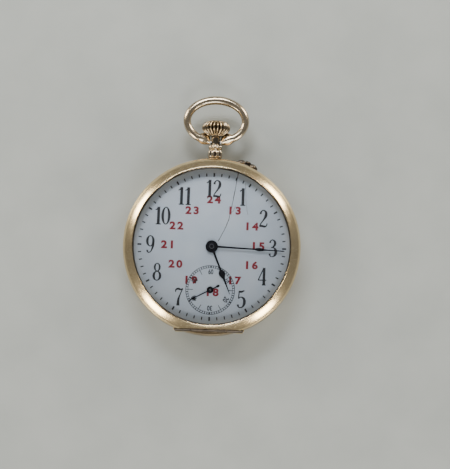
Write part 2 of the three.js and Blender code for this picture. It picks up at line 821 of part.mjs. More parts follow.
function balanceCock() {
  const spread = towards(cockFootAt, balanceAt);
  const side = new THREE.Vector2(-Math.sin(spread), Math.cos(spread));
  const edge = (at, half) => [half, -half].map((aside) => at.clone().addScaledVector(side, aside));
  const [footLeft, footRight] = edge(cockFootAt, 2.2);
  const [endLeft, endRight] = edge(balanceAt, 1.5);
  const arm = new THREE.Shape([footRight, endRight, endLeft, footLeft]);
  const solid = join(
    raised(arm, cockBottom, cockTop),
    disc(1.6, cockBottom, cockTop, balanceAt, wheelSides),
    disc(2.3, cockBottom, plateBottom - gap, cockFootAt, wheelSides),
  );
  return cut(
    solid,
    disc(0.36, cockBottom - past, cockTop + past, balanceAt),
    disc(screwHole, cockBottom - past, plateBottom - 0.4, cockFootAt),
  );
}

const palletFootAt = palletAt.clone().add(new THREE.Vector2(forkLine.y, -forkLine.x).multiplyScalar(-4.6));
const balanceTop = plateBottom - 2.15;
const palletBridgeBottom = balanceTop + 0.1;

function palletBridge() {
  const top = palletBridgeBottom + 0.4;
  return cut(
    join(
      bar(palletFootAt, palletAt, 0.8, palletBridgeBottom, top),
      disc(0.8, palletBridgeBottom, top, palletAt),
      disc(1.2, palletBridgeBottom, plateBottom - gap, palletFootAt),
    ),
    disc(0.3, palletBridgeBottom - 1, top + past, palletAt),
  );
}

// ---------------------------------------------------------------- winding wheels

function crownWheel() {
  const aim = towards(crownWheelAt, barrelAt);
  const bottom = ratchetTop - ratchetThickness;
  const teeth = raised(toothed(crownTeeth, windingModule, crownWheelAt, aim), bottom, ratchetTop);
  const bossRadius = (crownTeeth * windingModule) / 2 - 0.35;
  const boss = disc(bossRadius, ratchetTop - 0.1, crownWheelTop, crownWheelAt, wheelSides);
  return cut(join(teeth, boss), disc(1.34, bottom - past, crownWheelTop + past, crownWheelAt));
}

function crownWheelCore() {
  const bottom = ratchetTop - ratchetThickness;
  return join(
    disc(1.2, bottom - 0.05, crownWheelTop, crownWheelAt),
    disc(0.45, crownWheelTop - 0.1, bridgeTop - 0.2, crownWheelAt),
    disc(1.7, bottom - 0.3, bottom - 0.05, crownWheelAt),
  );
}

const arborSquare = 0.9;

function ratchetWheel() {
  const aim = towards(barrelAt, crownWheelAt);
  const bottom = ratchetTop - ratchetThickness;
  const half = arborSquare / 2 + gap;
  return cut(
    raised(toothed(ratchetTeeth, windingModule, barrelAt, aim, true), bottom, ratchetTop),
    block(
      [barrelAt.x - half, barrelAt.y - half, bottom - past],
      [barrelAt.x + half, barrelAt.y + half, ratchetTop + past],
    ),
  );
}

function barrelArbor() {
  const half = arborSquare / 2;
  return join(
    disc(0.68, bridgeBottom, motionFloor - gap, barrelAt),
    disc(1.6, barrelBottom + 0.35, barrelTop - 0.35, barrelAt),
    block(
      [barrelAt.x - half, barrelAt.y - half, ratchetTop - ratchetThickness],
      [barrelAt.x + half, barrelAt.y + half, bridgeBottom + 0.1],
    ),
  );
}

function ratchetScrew() {
  const bottom = ratchetTop - ratchetThickness;
  return disc(1.5, bottom - 0.32, bottom - gap, barrelAt, wheelSides);
}

const ratchetRadius = (ratchetTeeth * windingModule) / 2;
const clickAt = barrelAt.clone().add(polar(ratchetRadius + 2, -10));

// The click: its beak lies just clear of the ratchet wheel's teeth.
function click() {
  const bottom = ratchetTop - ratchetThickness;
  const inwards = barrelAt.clone().sub(clickAt).normalize();
  const along = new THREE.Vector2(-inwards.y, inwards.x);
  const beak = clickAt.clone().addScaledVector(inwards, 1.12).addScaledVector(along, 1.9);
  const shape = new THREE.Shape([
    clickAt.clone().addScaledVector(along, -0.9),
    clickAt.clone().addScaledVector(inwards, 0.7),
    beak,
    clickAt.clone().addScaledVector(inwards, -0.7).addScaledVector(along, 0.3),
  ]);
  return join(raised(shape, bottom, ratchetTop), disc(0.3, bottom, bridgeTop - 0.4, clickAt));
}

function clickSpring() {
  const bottom = ratchetTop - ratchetThickness;
  const outwards = clickAt.clone().sub(barrelAt).normalize();
  const along = new THREE.Vector2(outwards.y, -outwards.x);
  const from = clickAt.clone().addScaledVector(outwards, 1.35).addScaledVector(along, -1.6);
  const to = from.clone().addScaledVector(along, 4.4);
  return join(bar(from, to, 0.15, bottom, ratchetTop), disc(0.6, bottom, ratchetTop, to));
}

// ---------------------------------------------------------------- barrel and train

const barrelBottom = bridgeTop + 0.15;
const barrelTop = plateBottom - 0.1;
const barrelRim = (barrelTeeth * barrelModule) / 2 - 0.95 * barrelModule - 0.25;
const toothedHeight = 0.4;

function barrel() {
  const aim = towards(barrelAt, centreAt);
  const teeth = toothed(barrelTeeth, barrelModule, barrelAt, aim);
  const flange = raised(teeth, barrelBottom, barrelBottom + toothedHeight);
  const drum = disc(barrelRim, barrelBottom, barrelTop, barrelAt, drumSides);
  return cut(
    join(flange, drum),
    disc(barrelRim - 0.4, barrelBottom + 0.3, barrelTop + past, barrelAt, drumSides),
    disc(0.75, barrelBottom - past, barrelTop + past, barrelAt),
  );
}

function barrelCover() {
  return cut(
    disc(barrelRim - 0.45, barrelTop - 0.3, barrelTop, barrelAt, drumSides),
    disc(0.75, barrelBottom - past, barrelTop + past, barrelAt),
  );
}

// A flat spiral ribbon from one radius to another.
function spiral(at, inner, outer, turns, thickness, bottom, top, stepsPerTurn) {
  const total = Math.round(turns * stepsPerTurn);
  const edge = (offset) => Array.from({ length: total + 1 }, (_, i) =>
    polar(inner + ((outer - inner) * i) / total + offset, (360 * i) / stepsPerTurn).add(at));
  const shape = new THREE.Shape([...edge(thickness / 2), ...edge(-thickness / 2).reverse()]);
  return raised(shape, bottom, top);
}

const mainspring = () =>
  spiral(barrelAt, 2.2, barrelRim - 0.8, 3.5, 0.28, barrelBottom + 0.4, barrelTop - 0.4, 12);

// An arbor with its pinion, standing between two heights.
function arbor(at, radius, bottom, top, leaves, module, aim, pinionBottom, pinionTop) {
  return join(
    disc(radius, bottom, top, at),
    raised(toothed(leaves, module, at, aim, true), pinionBottom, pinionTop),
  );
}

const wheelThickness = 0.25;
const lowWheel = bridgeTop + 0.2; // the third wheel runs here
const pivotBottom = bridgeBottom + 0.3;
const pivotTop = motionFloor - 0.1;
const cannonTop = dialTop + 0.25 + 2 * handGap + 0.2;

function centreWheel() {
  const bottom = plateBottom + 0.1;
  return join(
    arbor(centreAt, 0.35, pivotBottom, cannonTop - 0.1, centreLeaves, barrelModule,
      towards(centreAt, barrelAt), bridgeTop + 0.1, bottom),
    crossedWheel({
      teeth: centreTeeth,
      module: centreModule,
      at: centreAt,
      aim: towards(centreAt, thirdAt),
      bottom,
      top: bottom + wheelThickness,
    }),
  );
}

function thirdWheel() {
  return join(
    arbor(thirdAt, 0.22, pivotBottom, pivotTop, thirdLeaves, centreModule,
      towards(thirdAt, centreAt), plateBottom - 0.4, centreCeiling - 0.1),
    crossedWheel({
      teeth: thirdTeeth,
      module: thirdModule,
      at: thirdAt,
      aim: towards(thirdAt, fourthAt),
      bottom: lowWheel,
      top: lowWheel + wheelThickness,
    }),
  );
}

function fourthWheel() {
  const bottom = plateBottom - 0.9;
  return join(
    arbor(fourthAt, 0.22, pivotBottom, dialTop + 0.2, fourthLeaves, thirdModule,
      towards(fourthAt, thirdAt), lowWheel - 0.05, bottom),
    crossedWheel({
      teeth: fourthTeeth,
      module: fourthModule,
      at: fourthAt,
      aim: towards(fourthAt, escapeAt),
      bottom,
      top: bottom + wheelThickness,
    }),
  );
}

const escapeBottom = plateBottom - 1.4;

function escapeWheel() {
  const step = 360 / escapeTeeth;
  const points = [];
  for (let i = 0; i < escapeTeeth; i++) {
    points.push(polar(escapeRadius, i * step));
    points.push(polar(escapeRadius, i * step + 3));
    points.push(polar(escapeRadius - 0.9, i * step + 11));
    points.push(polar(escapeRadius - 0.9, i * step + step - 6));
  }
  const shape = new THREE.Shape(points.map((point) => point.add(escapeAt)));
  shape.holes.push(...windows(0.75, escapeRadius - 1.35, 4, escapeAt));
  return join(
    raised(shape, escapeBottom, escapeBottom + 0.3),
    arbor(escapeAt, 0.2, pivotBottom, pivotTop, escapeLeaves, fourthModule,
      towards(escapeAt, fourthAt), escapeBottom + 0.1, plateBottom - 0.3),
  );
}

// The anchor and lever. Its pallets stop just short of the escape wheel's teeth.
function palletFork() {
  const bottom = escapeBottom + 0.05;
  const top = bottom + 0.3;
  const across = new THREE.Vector2(-forkLine.y, forkLine.x);
  const place = (ahead, aside) =>
    palletAt.clone().addScaledVector(forkLine, ahead).addScaledVector(across, aside);
  const palletArm = (side) => [
    bar(palletAt, place(-0.35, side * 2.3), 0.3, bottom, top),
    bar(place(-0.3, side * 2.2), place(-1.35, side * 2.35), 0.22, bottom, top),
  ];
  const reach = palletAt.distanceTo(balanceAt);
  const lever = bar(palletAt, place(reach - 1.75, 0), 0.3, bottom, top);
  const horns = mirrored((side) =>
    bar(place(reach - 1.95, 0), place(reach - 1.25, side * 0.42), 0.14, bottom, top));
  return join(
    disc(0.6, bottom, top, palletAt),
    disc(0.2, palletBridgeBottom + 0.1, pivotTop, palletAt),
    lever,
    ...palletArm(-1),
    ...palletArm(1),
    ...horns,
  );
}

// ---------------------------------------------------------------- balance

const staffRadius = 0.3;

function balanceWheel() {
  const bottom = balanceTop - 0.7;
  const rim = cut(
    disc(balanceRadius, bottom, balanceTop, balanceAt, balanceSides),
    disc(balanceRadius - 0.75, bottom - past, balanceTop + past, balanceAt, balanceSides),
  );
  const angle = towards(balanceAt, palletAt) + Math.PI / 2;
  const end = polar(balanceRadius - 0.4, THREE.MathUtils.radToDeg(angle));
  const arms = bar(balanceAt.clone().add(end), balanceAt.clone().sub(end), 0.55, bottom + 0.2, bottom + 0.5);
  const hub = disc(1.1, bottom + 0.2, bottom + 0.5, balanceAt);
  return cut(join(rim, arms, hub), disc(staffRadius + 0.03, bottom - past, balanceTop + past, balanceAt));
}

const balanceStaff = () => disc(staffRadius, cockBottom + 0.1, pivotTop, balanceAt);

function impulseRoller() {
  const bottom = balanceTop + 0.15;
  const pinAt = balanceAt.clone().addScaledVector(forkLine, -1.3);
  return cut(
    join(
      disc(1.6, bottom, bottom + 0.3, balanceAt, wheelSides),
      disc(0.15, bottom + 0.2, bottom + 0.6, pinAt),
    ),
    disc(staffRadius + 0.03, bottom - past, bottom + past, balanceAt),
  );
}

const hairspring = () =>
  spiral(balanceAt, 0.75, 3.4, 5, 0.12, cockTop + 0.1, cockTop + 0.35, 10);

// The index that lengthens or shortens the hairspring, turning round the cock's end.
function regulator() {
  const top = cockBottom - gap;
  const ring = disc(1.4, top - 0.3, top, balanceAt);
  const aim = towards(cockFootAt, balanceAt);
  const direction = new THREE.Vector2(Math.cos(aim), Math.sin(aim));
  const tail = balanceAt.clone().addScaledVector(direction, -4.6);
  const short = balanceAt.clone().addScaledVector(direction, 2.6);
  return cut(
    join(ring, bar(balanceAt, tail, 0.28, top - 0.3, top), bar(balanceAt, short, 0.4, top - 0.3, top)),
    disc(0.6, top - past, top + past, balanceAt),
  );
}

// ---------------------------------------------------------------- motion work and hands

const minuteWheelBottom = motionFloor + gap;
const hourWheelBottom = minuteWheelBottom + 0.3;
const motionWheelThickness = 0.22;

function cannonPinion() {
  return cut(
    join(
      disc(0.65, minuteWheelBottom, cannonTop, centreAt),
      raised(toothed(cannonLeaves, motionModule, centreAt, Math.PI / 2, true),
        minuteWheelBottom, minuteWheelBottom + 0.24),
    ),
    disc(0.41, minuteWheelBottom - past, cannonTop + 1, centreAt),
  );
}

function minuteWheel() {
  const wheel = toothed(minuteTeeth, motionModule, minuteAt, -Math.PI / 2);
  const pinion = toothed(minuteLeaves, motionModule, minuteAt, -Math.PI / 2, true);
  return join(
    raised(wheel, minuteWheelBottom, minuteWheelBottom + motionWheelThickness),
    raised(pinion, minuteWheelBottom + 0.1, hourWheelBottom + 0.25),
  );
}

function hourWheel() {
  const wheel = toothed(hourTeeth, motionModule, centreAt, Math.PI / 2);
  return cut(
    join(
      raised(wheel, hourWheelBottom, hourWheelBottom + motionWheelThickness),
      disc(1.1, hourWheelBottom, dialTop + 0.25 + handGap - 0.05, centreAt),
    ),
    disc(0.72, hourWheelBottom - past, dialTop + 2, centreAt),
  );
}

// The setting wheel stands in the minute wheel's teeth.
function settingWheel() {
  const wheel = toothed(settingTeeth, motionModule, settingAt, towards(settingAt, minuteAt), true);
  return cut(
    raised(wheel, minuteWheelBottom, minuteWheelBottom + motionWheelThickness),
    disc(0.8, minuteWheelBottom - past, plateTop, settingAt),
  );
}

// A hand from [distance along, half width] pairs, pointing along a direction, with a boss and a hole.
function hand(sections, at, clockAngle, bottom, thickness, boss, hole) {
  const left = sections.map(([along, half]) => new THREE.Vector2(along, half));
  const right = sections.map(([along, half]) => new THREE.Vector2(along, -half)).reverse();
  const turn = Math.PI / 2 - THREE.MathUtils.degToRad(clockAngle);
  const blade = raised(new THREE.Shape([...right, ...left]), bottom, bottom + thickness);
  blade.rotateZ(turn).translate(at.x, at.y, 0);
  const hub = disc(boss, bottom, bottom + thickness, at, wheelSides);
  return cut(join(blade, hub), disc(hole, bottom - past, bottom + past, at));
}

// The watch shows a quarter past five and forty seconds.
const hourAngle = 157.5;
const minuteAngle = 92;
const secondsAngle = 242;
const hourHandZ = dialTop + 0.25;
const minuteHandZ = hourHandZ + handGap;

const hourHand = () => hand([
  [-0.5, 0.4], [2, 0.24], [6.8, 0.24], [7.3, 0.6], [7.9, 0.75], [8.6, 0.55], [9.3, 0.26], [13.9, 0.07],
], centreAt, hourAngle, hourHandZ, 0.18, 1.7, 1.13);

const minuteHand = () => hand([
  [-0.5, 0.36], [2, 0.2], [11.4, 0.17], [12.3, 0.4], [13, 0.48], [13.9, 0.36], [14.8, 0.16], [19.8, 0.08],
], centreAt, minuteAngle, minuteHandZ, 0.18, 1.6, 0.68);

function secondsHand() {
  return hand([
    [-2.8, 0.25], [-2.2, 0.3], [-1.5, 0.12], [0, 0.14], [4.4, 0.1], [5.2, 0.24], [6.5, 0.05],
  ], fourthAt, secondsAngle, dialTop + 0.12, 0.12, 0.9, 0.25);
}

// ---------------------------------------------------------------- finishes and assembly

const finish = (color, roughness, metalness, extra = {}) =>
  new THREE.MeshStandardMaterial({ color, roughness, metalness, ...extra });

const finishes = {
  gold: finish(0xc9a763, 0.22, 1),
  goldDark: finish(0x8a6b45, 0.35, 1),
  glass: finish(0xf2f6fa, 0.03, 0, { transparent: true, opacity: 0.2 }),
  enamel: finish(0xdcdfe8, 0.18, 0),
  gilt: finish(0xc7a35a, 0.35, 1),
  brass: finish(0xc9a24a, 0.3, 1),
  steel: finish(0xb5b8bc, 0.22, 1),
  blued: finish(0x1a1f33, 0.25, 0.9),
  blackSteel: finish(0x15161c, 0.3, 0.8),
};

const watch = new THREE.Group();
watch.name = "pocket_watch";

function place(name, geometry, material) {
  const mesh = new THREE.Mesh(geometry, finishes[material]);
  mesh.name = name;
  watch.add(mesh);
}

// Case
place("mid_case", midCase(), "gold");
place("bezel", bezel(), "gold");
place("crystal", crystal(), "glass");
place("back_cover", backCover(), "gold");
place("dust_cover", dustCover(), "gold");
place("bezel_hinge_pin", hingePinRod(bezelHingeZ), "goldDark");
place("back_hinge_pin", hingePinRod(backHingeZ), "goldDark");
place("pendant", pendant(), "gold");
place("bow", bow(), "gold");
place("bow_screw_left", bowScrew(-1), "steel");
place("bow_screw_right", bowScrew(1), "steel");
place("crown", crown(), "goldDark");

// Winding and setting
place("winding_stem", windingStem(), "steel");
place("winding_pinion", windingPinion(), "steel");
place("clutch_wheel", clutchWheel(), "steel");
place("pusher_guard", pusherGuard(), "goldDark");
place("setting_pusher", settingPusher(), "steel");
place("setting_lever", settingLever(), "steel");
place("crown_wheel", crownWheel(), "steel");
place("crown_wheel_core", crownWheelCore(), "blued");
place("ratchet_wheel", ratchetWheel(), "steel");
place("ratchet_screw", ratchetScrew(), "blued");
place("click", click(), "steel");
place("click_spring", clickSpring(), "blued");

// Plates and bridges
place("main_plate", mainPlate(), "gilt");
place("dial", dial(), "enamel");
place("barrel_bridge", barrelBridge(), "gilt");
place("train_bridge", trainBridge(), "gilt");
place("balance_cock", balanceCock(), "gilt");
place("pallet_bridge", palletBridge(), "gilt");
barrelScrewsAt.forEach((at, i) =>
  place(`barrel_bridge_screw_${i + 1}`, screw(at, bridgeBottom - 0.3 - gap, plateBottom - 0.5), "blued"));
trainScrewsAt.forEach((at, i) =>
  place(`train_bridge_screw_${i + 1}`, screw(at, bridgeBottom - 0.3 - gap, plateBottom - 0.5), "blued"));
place("balance_cock_screw", screw(cockFootAt, cockBottom - 0.3 - gap, plateBottom - 0.5), "blued");
caseScrewsAt.forEach((at, i) =>
  place(`case_screw_${i + 1}`, screw(at, plateBottom - 0.35 - gap, plateTop - 0.5, 0.42), "steel"));

// Barrel and train
place("barrel", barrel(), "brass");
place("barrel_cover", barrelCover(), "brass");
place("barrel_arbor", barrelArbor(), "steel");
place("mainspring", mainspring(), "blued");
place("centre_wheel", centreWheel(), "brass");
place("third_wheel", thirdWheel(), "brass");
place("fourth_wheel", fourthWheel(), "brass");
place("escape_wheel", escapeWheel(), "steel");
place("pallet_fork", palletFork(), "steel");

// Balance
place("balance_wheel", balanceWheel(), "brass");
place("balance_staff", balanceStaff(), "steel");
place("impulse_roller", impulseRoller(), "steel");
place("hairspring", hairspring(), "blued");
place("regulator", regulator(), "steel");

// Motion work and hands
place("cannon_pinion", cannonPinion(), "steel");
place("minute_wheel", minuteWheel(), "brass");
place("hour_wheel", hourWheel(), "brass");
place("setting_wheel", settingWheel(), "steel");
place("hour_hand", hourHand(), "blackSteel");
place("minute_hand", minuteHand(), "blackSteel");
place("seconds_hand", secondsHand(), "blackSteel");

export default watch;
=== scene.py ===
# %% [markdown]
# # An open face pocket watch
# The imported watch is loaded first: every visible piece below rides on one of its bodies and takes its
# place from it. A piece is shaped in millimetres, because a watchmaker thinks in them, and is brought
# to metres once, when it is finished.

# %% Load the watch
import math
import random

import bmesh
import bpy
from mathutils import Matrix, Vector


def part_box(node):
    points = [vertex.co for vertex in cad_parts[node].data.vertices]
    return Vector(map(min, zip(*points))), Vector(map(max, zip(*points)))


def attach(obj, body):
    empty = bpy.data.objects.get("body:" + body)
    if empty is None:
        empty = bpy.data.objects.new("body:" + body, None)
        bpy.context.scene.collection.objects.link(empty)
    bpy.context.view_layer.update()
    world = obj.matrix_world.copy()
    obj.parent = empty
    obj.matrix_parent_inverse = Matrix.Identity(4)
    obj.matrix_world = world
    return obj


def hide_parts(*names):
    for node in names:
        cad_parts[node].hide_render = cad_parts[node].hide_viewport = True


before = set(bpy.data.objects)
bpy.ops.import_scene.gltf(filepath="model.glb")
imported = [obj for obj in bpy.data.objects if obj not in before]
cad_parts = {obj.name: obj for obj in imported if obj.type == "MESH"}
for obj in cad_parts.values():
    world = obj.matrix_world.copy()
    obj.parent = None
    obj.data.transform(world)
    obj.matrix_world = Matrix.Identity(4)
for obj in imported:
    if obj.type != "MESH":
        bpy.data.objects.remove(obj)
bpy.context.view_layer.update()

MM = 0.001
chance = random.Random(19)
scene = bpy.context.scene

# %% [markdown]
# ## Heights and radii
# The levels that pieces share are read from the watch itself: the dial's face, the bezel's ring, the
# stem's axis. Reading them once keeps every new piece on its neighbour.

# %% Read the levels
def reach(node):
    """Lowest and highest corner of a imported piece, in millimetres."""
    low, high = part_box(node)
    return low / MM, high / MM


dial_high = reach("dial")[1]
crown_low, crown_high = reach("crown")

DIAL_TOP = dial_high.z
DIAL_RADIUS = dial_high.x
CASE_RADIUS = reach("mid_case")[1].x
PLATE_FLANGE = 0.37
MOVEMENT_RADIUS = reach("main_plate")[1].x - PLATE_FLANGE
BEZEL_BOTTOM = DIAL_TOP + 0.1
BEZEL_TOP = reach("bezel")[1].z
OPENING_RADIUS = MOVEMENT_RADIUS - 0.13
STEM_Z = (crown_low.z + crown_high.z) / 2
BACK_DEPTH = 3.0
HINGE_Y = -22.6
HINGE_HALF = 9.3
HINGE_TUBE = 0.54
KNUCKLE_GAP = 0.05
BEZEL_HINGE_Z = DIAL_TOP + 0.05
BACK_HINGE_Z = 3.03
print("case radius", round(CASE_RADIUS, 2), "dial top", round(DIAL_TOP, 2), "stem height", round(STEM_Z, 2))

# %% [markdown]
# ## Ways to make a shape
# Most of a watch comes off a lathe, so the first helper spins a profile about an axis, exactly as the
# real piece is turned. The others raise a flat outline, sweep a stroke, or bridge a row of sections.
# Each returns a bmesh, and `gathered` puts several of them in one piece.

# %% Turned shapes
def turned(profile, steps=96, closed=False):
    """Spin (radius, height) points about Z; a closed profile gives a ring."""
    bm = bmesh.new()
    line = [bm.verts.new((radius, 0, height)) for radius, height in profile]
    edges = [bm.edges.new(pair) for pair in zip(line, line[1:])]
    if closed:
        edges.append(bm.edges.new((line[-1], line[0])))
    bmesh.ops.spin(
        bm, geom=line + edges, cent=(0, 0, 0), axis=(0, 0, 1), dvec=(0, 0, 0),
        angle=math.tau, steps=steps, use_merge=True,
    )
    bmesh.ops.remove_doubles(bm, verts=bm.verts, dist=1e-4)
    bmesh.ops.recalc_face_normals(bm, faces=bm.faces)
    return bm


def moved(bm, matrix):
    """Move a whole shape, and turn its faces out again if the move mirrored it."""
    bmesh.ops.transform(bm, matrix=matrix, verts=bm.verts)
    if matrix.determinant() < 0:
        bmesh.ops.reverse_faces(bm, faces=bm.faces)
    return bm


def at(x, y, z=0.0):
    return Matrix.Translation((x, y, z))


def turn(degrees, axis="Z"):
    return Matrix.Rotation(math.radians(degrees), 4, axis)


def on_stem(bm):
    """Lay a shape turned about Z along the winding stem, height becoming distance towards the bow."""
    return moved(bm, at(0, 0, STEM_Z) @ turn(-90, "X"))


def gathered(*shapes):
    whole = bmesh.new()
    for shape in shapes:
        carrier = bpy.data.meshes.new("carrier")
        shape.to_mesh(carrier)
        shape.free()
        whole.from_mesh(carrier)
        bpy.data.meshes.remove(carrier)
    return whole


# %% [markdown]
# A profile drawn with a few points would show corners in a polished surface. `smooth_line` runs a
# Catmull-Rom curve through the points, which keeps them and rounds what lies between.

# %% Smooth lines, raised outlines and strokes
def smooth_line(points, steps):
    """A curve through the points, of any number of coordinates."""
    ends = [points[0], *points, points[-1]]
    line = []
    for i in range(1, len(ends) - 2):
        before, start, end, after = (Vector(p) for p in ends[i - 1:i + 3])
        for k in range(steps):
            t = k / steps
            line.append(0.5 * (
                2 * start + (end - before) * t
                + (2 * before - 5 * start + 4 * end - after) * t ** 2
                + (3 * start - before - 3 * end + after) * t ** 3
            ))
    return line + [Vector(points[-1])]


def raised(outline, bottom, top, edge=0.0):
    """A flat outline raised between two heights, with its top edge softened."""
    bm = bmesh.new()
    corners = [bm.verts.new((p[0], p[1], bottom)) for p in outline]
    bm.faces.new(corners)
    grown = bmesh.ops.extrude_face_region(bm, geom=bm.faces[:])
    upper = [item for item in grown["geom"] if isinstance(item, bmesh.types.BMVert)]
    bmesh.ops.translate(bm, vec=(0, 0, top - bottom), verts=upper)
    bmesh.ops.recalc_face_normals(bm, faces=bm.faces)
    if edge:
        rim = [e for e in bm.edges if all(v.co.z > top - 1e-6 for v in e.verts)]
        bmesh.ops.bevel(
            bm, geom=rim, offset=edge, offset_type="OFFSET", segments=2, profile=0.5,
            affect="EDGES", clamp_overlap=True, material=-1,
        )
    return bm


def stroke(points, bottom, top, steps=1):
    """A pen stroke: (x, y, width) points, smoothed, as a thin slab."""
    line = smooth_line(points, steps) if len(points) > 2 else [Vector(p) for p in points]
    left, right = [], []
    for i, point in enumerate(line):
        ahead = line[min(i + 1, len(line) - 1)]
        behind = line[max(i - 1, 0)]
        along = Vector((ahead.x - behind.x, ahead.y - behind.y))
        along.normalize()
        aside = Vector((-along.y, along.x)) * point.z / 2
        middle = Vector((point.x, point.y))
        left.append(middle + aside)
        right.append(middle - aside)
    return raised(right + left[::-1], bottom, top)


def lofted(sections, sides):
    """Bridge a row of sections: each is (matrix, half width, half height, roundness)."""
    bm = bmesh.new()
    loops = []
    for place, wide, high, roundness in sections:
        made = bmesh.ops.create_circle(bm, cap_ends=False, radius=1, segments=sides)
        for v in made["verts"]:
            for axis, size in ((0, wide), (1, high)):
                sign = math.copysign(1, v.co[axis])
                v.co[axis] = sign * abs(v.co[axis]) ** roundness * size
        bmesh.ops.transform(bm, matrix=place, verts=made["verts"])
        ring = set(made["verts"])
        loops.append([e for e in bm.edges if set(e.verts) <= ring])
    for first, second in zip(loops, loops[1:]):
        bmesh.ops.bridge_loops(bm, edges=first + second)
    for loop in (loops[0], loops[-1]):
        bmesh.ops.contextual_create(bm, geom=loop)
    bmesh.ops.recalc_face_normals(bm, faces=bm.faces)
    return bm


def disc(radius, bottom, top, steps, edge=0.0):
    """A turned disc with softened corners."""
    if not edge:
        return turned([(0, bottom), (radius, bottom), (radius, top), (0, top)], steps)
    return turned([
        (0, bottom), (radius - edge, bottom), (radius, bottom + edge),
        (radius, top - edge), (radius - edge, top), (0, top),
    ], steps)


def cross_rod(radius, start, end, y, z, edge=0.08):
    """A rod along X with softened ends, as a hinge's knuckle."""
    rod = disc(radius, min(start, end), max(start, end), 24, edge)
    return moved(rod, at(0, y, z) @ turn(90, "Y"))


# %% [markdown]
# ## Finishing a piece
# One function turns a shape into a named object: it brings it to metres, smooths the shading up to a
# given corner, gives the material, and says on which body it rides and which imported pieces it
# stands for.

# %% Make a shape a piece
def piece(name, shape, body, slot, material, *nodes, corner=35):
    bmesh.ops.remove_doubles(shape, verts=shape.verts, dist=1e-5)
    bmesh.ops.scale(shape, vec=(MM, MM, MM), verts=shape.verts)
    mesh = bpy.data.meshes.new(name)
    shape.to_mesh(mesh)
    shape.free()
    mesh.shade_smooth()
    mesh.set_sharp_from_angle(angle=math.radians(corner))
    mesh.materials.append(material)
    made = bpy.data.objects.new(name, mesh)
    scene.collection.objects.link(made)
    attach(made, body)
    if nodes:
        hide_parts(*nodes)
    print(name, len(mesh.polygons), "faces on", body)


# %% [markdown]
# ## Writing a finish as sums
# A material is a net of nodes. `Wire` stands for one socket's output and can be added, multiplied or
# raised to a power, each sum adding its Math node.

# %% Shader sums
class Wire:
    """An output socket that can be used in sums."""

    def __init__(self, net, socket):
        self.net = net
        self.socket = socket

    def sum(self, operation, *values):
        return self.net.node("ShaderNodeMath", {"operation": operation}, dict(enumerate(values)))[0]

    def __add__(self, other):
        return self.sum("ADD", self, other)

    def __mul__(self, other):
        return self.sum("MULTIPLY", self, other)

    def __pow__(self, other):
        return self.sum("POWER", self, other)

    def sine(self):
        return self.sum("SINE", self)

    __radd__ = __add__
    __rmul__ = __mul__


class Made:
    """A node that was added, whose outputs are taken by name or number."""

    def __init__(self, net, node):
        self.net = net
        self.node = node

    def __getitem__(self, output):
        return Wire(self.net, self.node.outputs[output])


# %% [markdown]
# `Finish` holds the net of one material and adds any node from its type, its settings and the values or
# links of its sockets. The nodes that come back in every finish get a short name of their own.

# %% A finish and its nodes
class Finish:
    """A material being made."""

    def __init__(self, name):
        self.material = bpy.data.materials.new(name)
        self.material.use_nodes = True
        self.nodes = self.material.node_tree.nodes
        self.links = self.material.node_tree.links
        self.shader = self.nodes["Principled BSDF"]

    def put(self, socket, value):
        if isinstance(value, Wire):
            self.links.new(value.socket, socket)
        else:
            socket.default_value = value

    def node(self, kind, settings=None, values=None):
        made = self.nodes.new(kind)
        for key, value in (settings or {}).items():
            if key == "stops":
                self.set_stops(made.color_ramp, value)
            else:
                setattr(made, key, value)
        for key, value in (values or {}).items():
            self.put(made.inputs[key], value)
        return Made(self, made)

    def set_stops(self, ramp, stops):
        while len(ramp.elements) < len(stops):
            ramp.elements.new(0.5)
        for element, (position, colour) in zip(ramp.elements, stops):
            element.position = position
            element.color = (*colour, 1)

    def set(self, **values):
        for key, value in values.items():
            self.put(self.shader.inputs[key.replace("_", " ")], value)
        return self

    def centred(self, x=0.0, y=0.0):
        """Object coordinates in millimetres, measured from a point."""
        return self.node("ShaderNodeMapping", {"vector_type": "TEXTURE"}, {
            "Vector": self.node("ShaderNodeTexCoord")["Object"],
            "Location": (x * MM, y * MM, 0.0),
            "Scale": (MM, MM, MM),
        })["Vector"]

    def noise(self, where, scale, detail, rough=0.55):
        return self.node("ShaderNodeTexNoise", None, {
            "Vector": where, "Scale": scale, "Detail": detail, "Roughness": rough,
        })["Fac"]

    def spread(self, value, low, high, to_low=0.0, to_high=1.0):
        return self.node("ShaderNodeMapRange", {"clamp": True}, {
            "Value": value, "From Min": low, "From Max": high, "To Min": to_low, "To Max": to_high,
        })["Result"]

    def mix(self, share, first, second):
        """A mix of two colours; sockets 6 and 7 are the node's colours, output 2 its result."""
        return self.node("ShaderNodeMix", {"data_type": "RGBA"}, {0: share, 6: first, 7: second})[2]

    def bump(self, height, strength, distance):
        return self.node("ShaderNodeBump", None, {
            "Height": height, "Strength": strength, "Distance": distance * MM,
        })["Normal"]


def colour(red, green, blue):
    return (red, green, blue, 1.0)


# %% [markdown]
# ## Gold
# The case is rolled gold that has been handled for a century: a soft polish crossed by fine scratches,
# slightly browner where dirt sits. Scratches are a stretched noise, turned two ways; the brown comes
# from a broad noise, and a fluted piece's own "groove" attribute blackens it between its ribs with painted
# shade. A single mirror gold would look new, and plated rather than worn.

# %% Gold finishes
# Near-black colour of the painted shade laid between a fluted piece's ribs.
GROOVE_PAINTED_SHADE = colour(0.035, 0.026, 0.020)
SCRATCH_ANGLES = (25, -62)


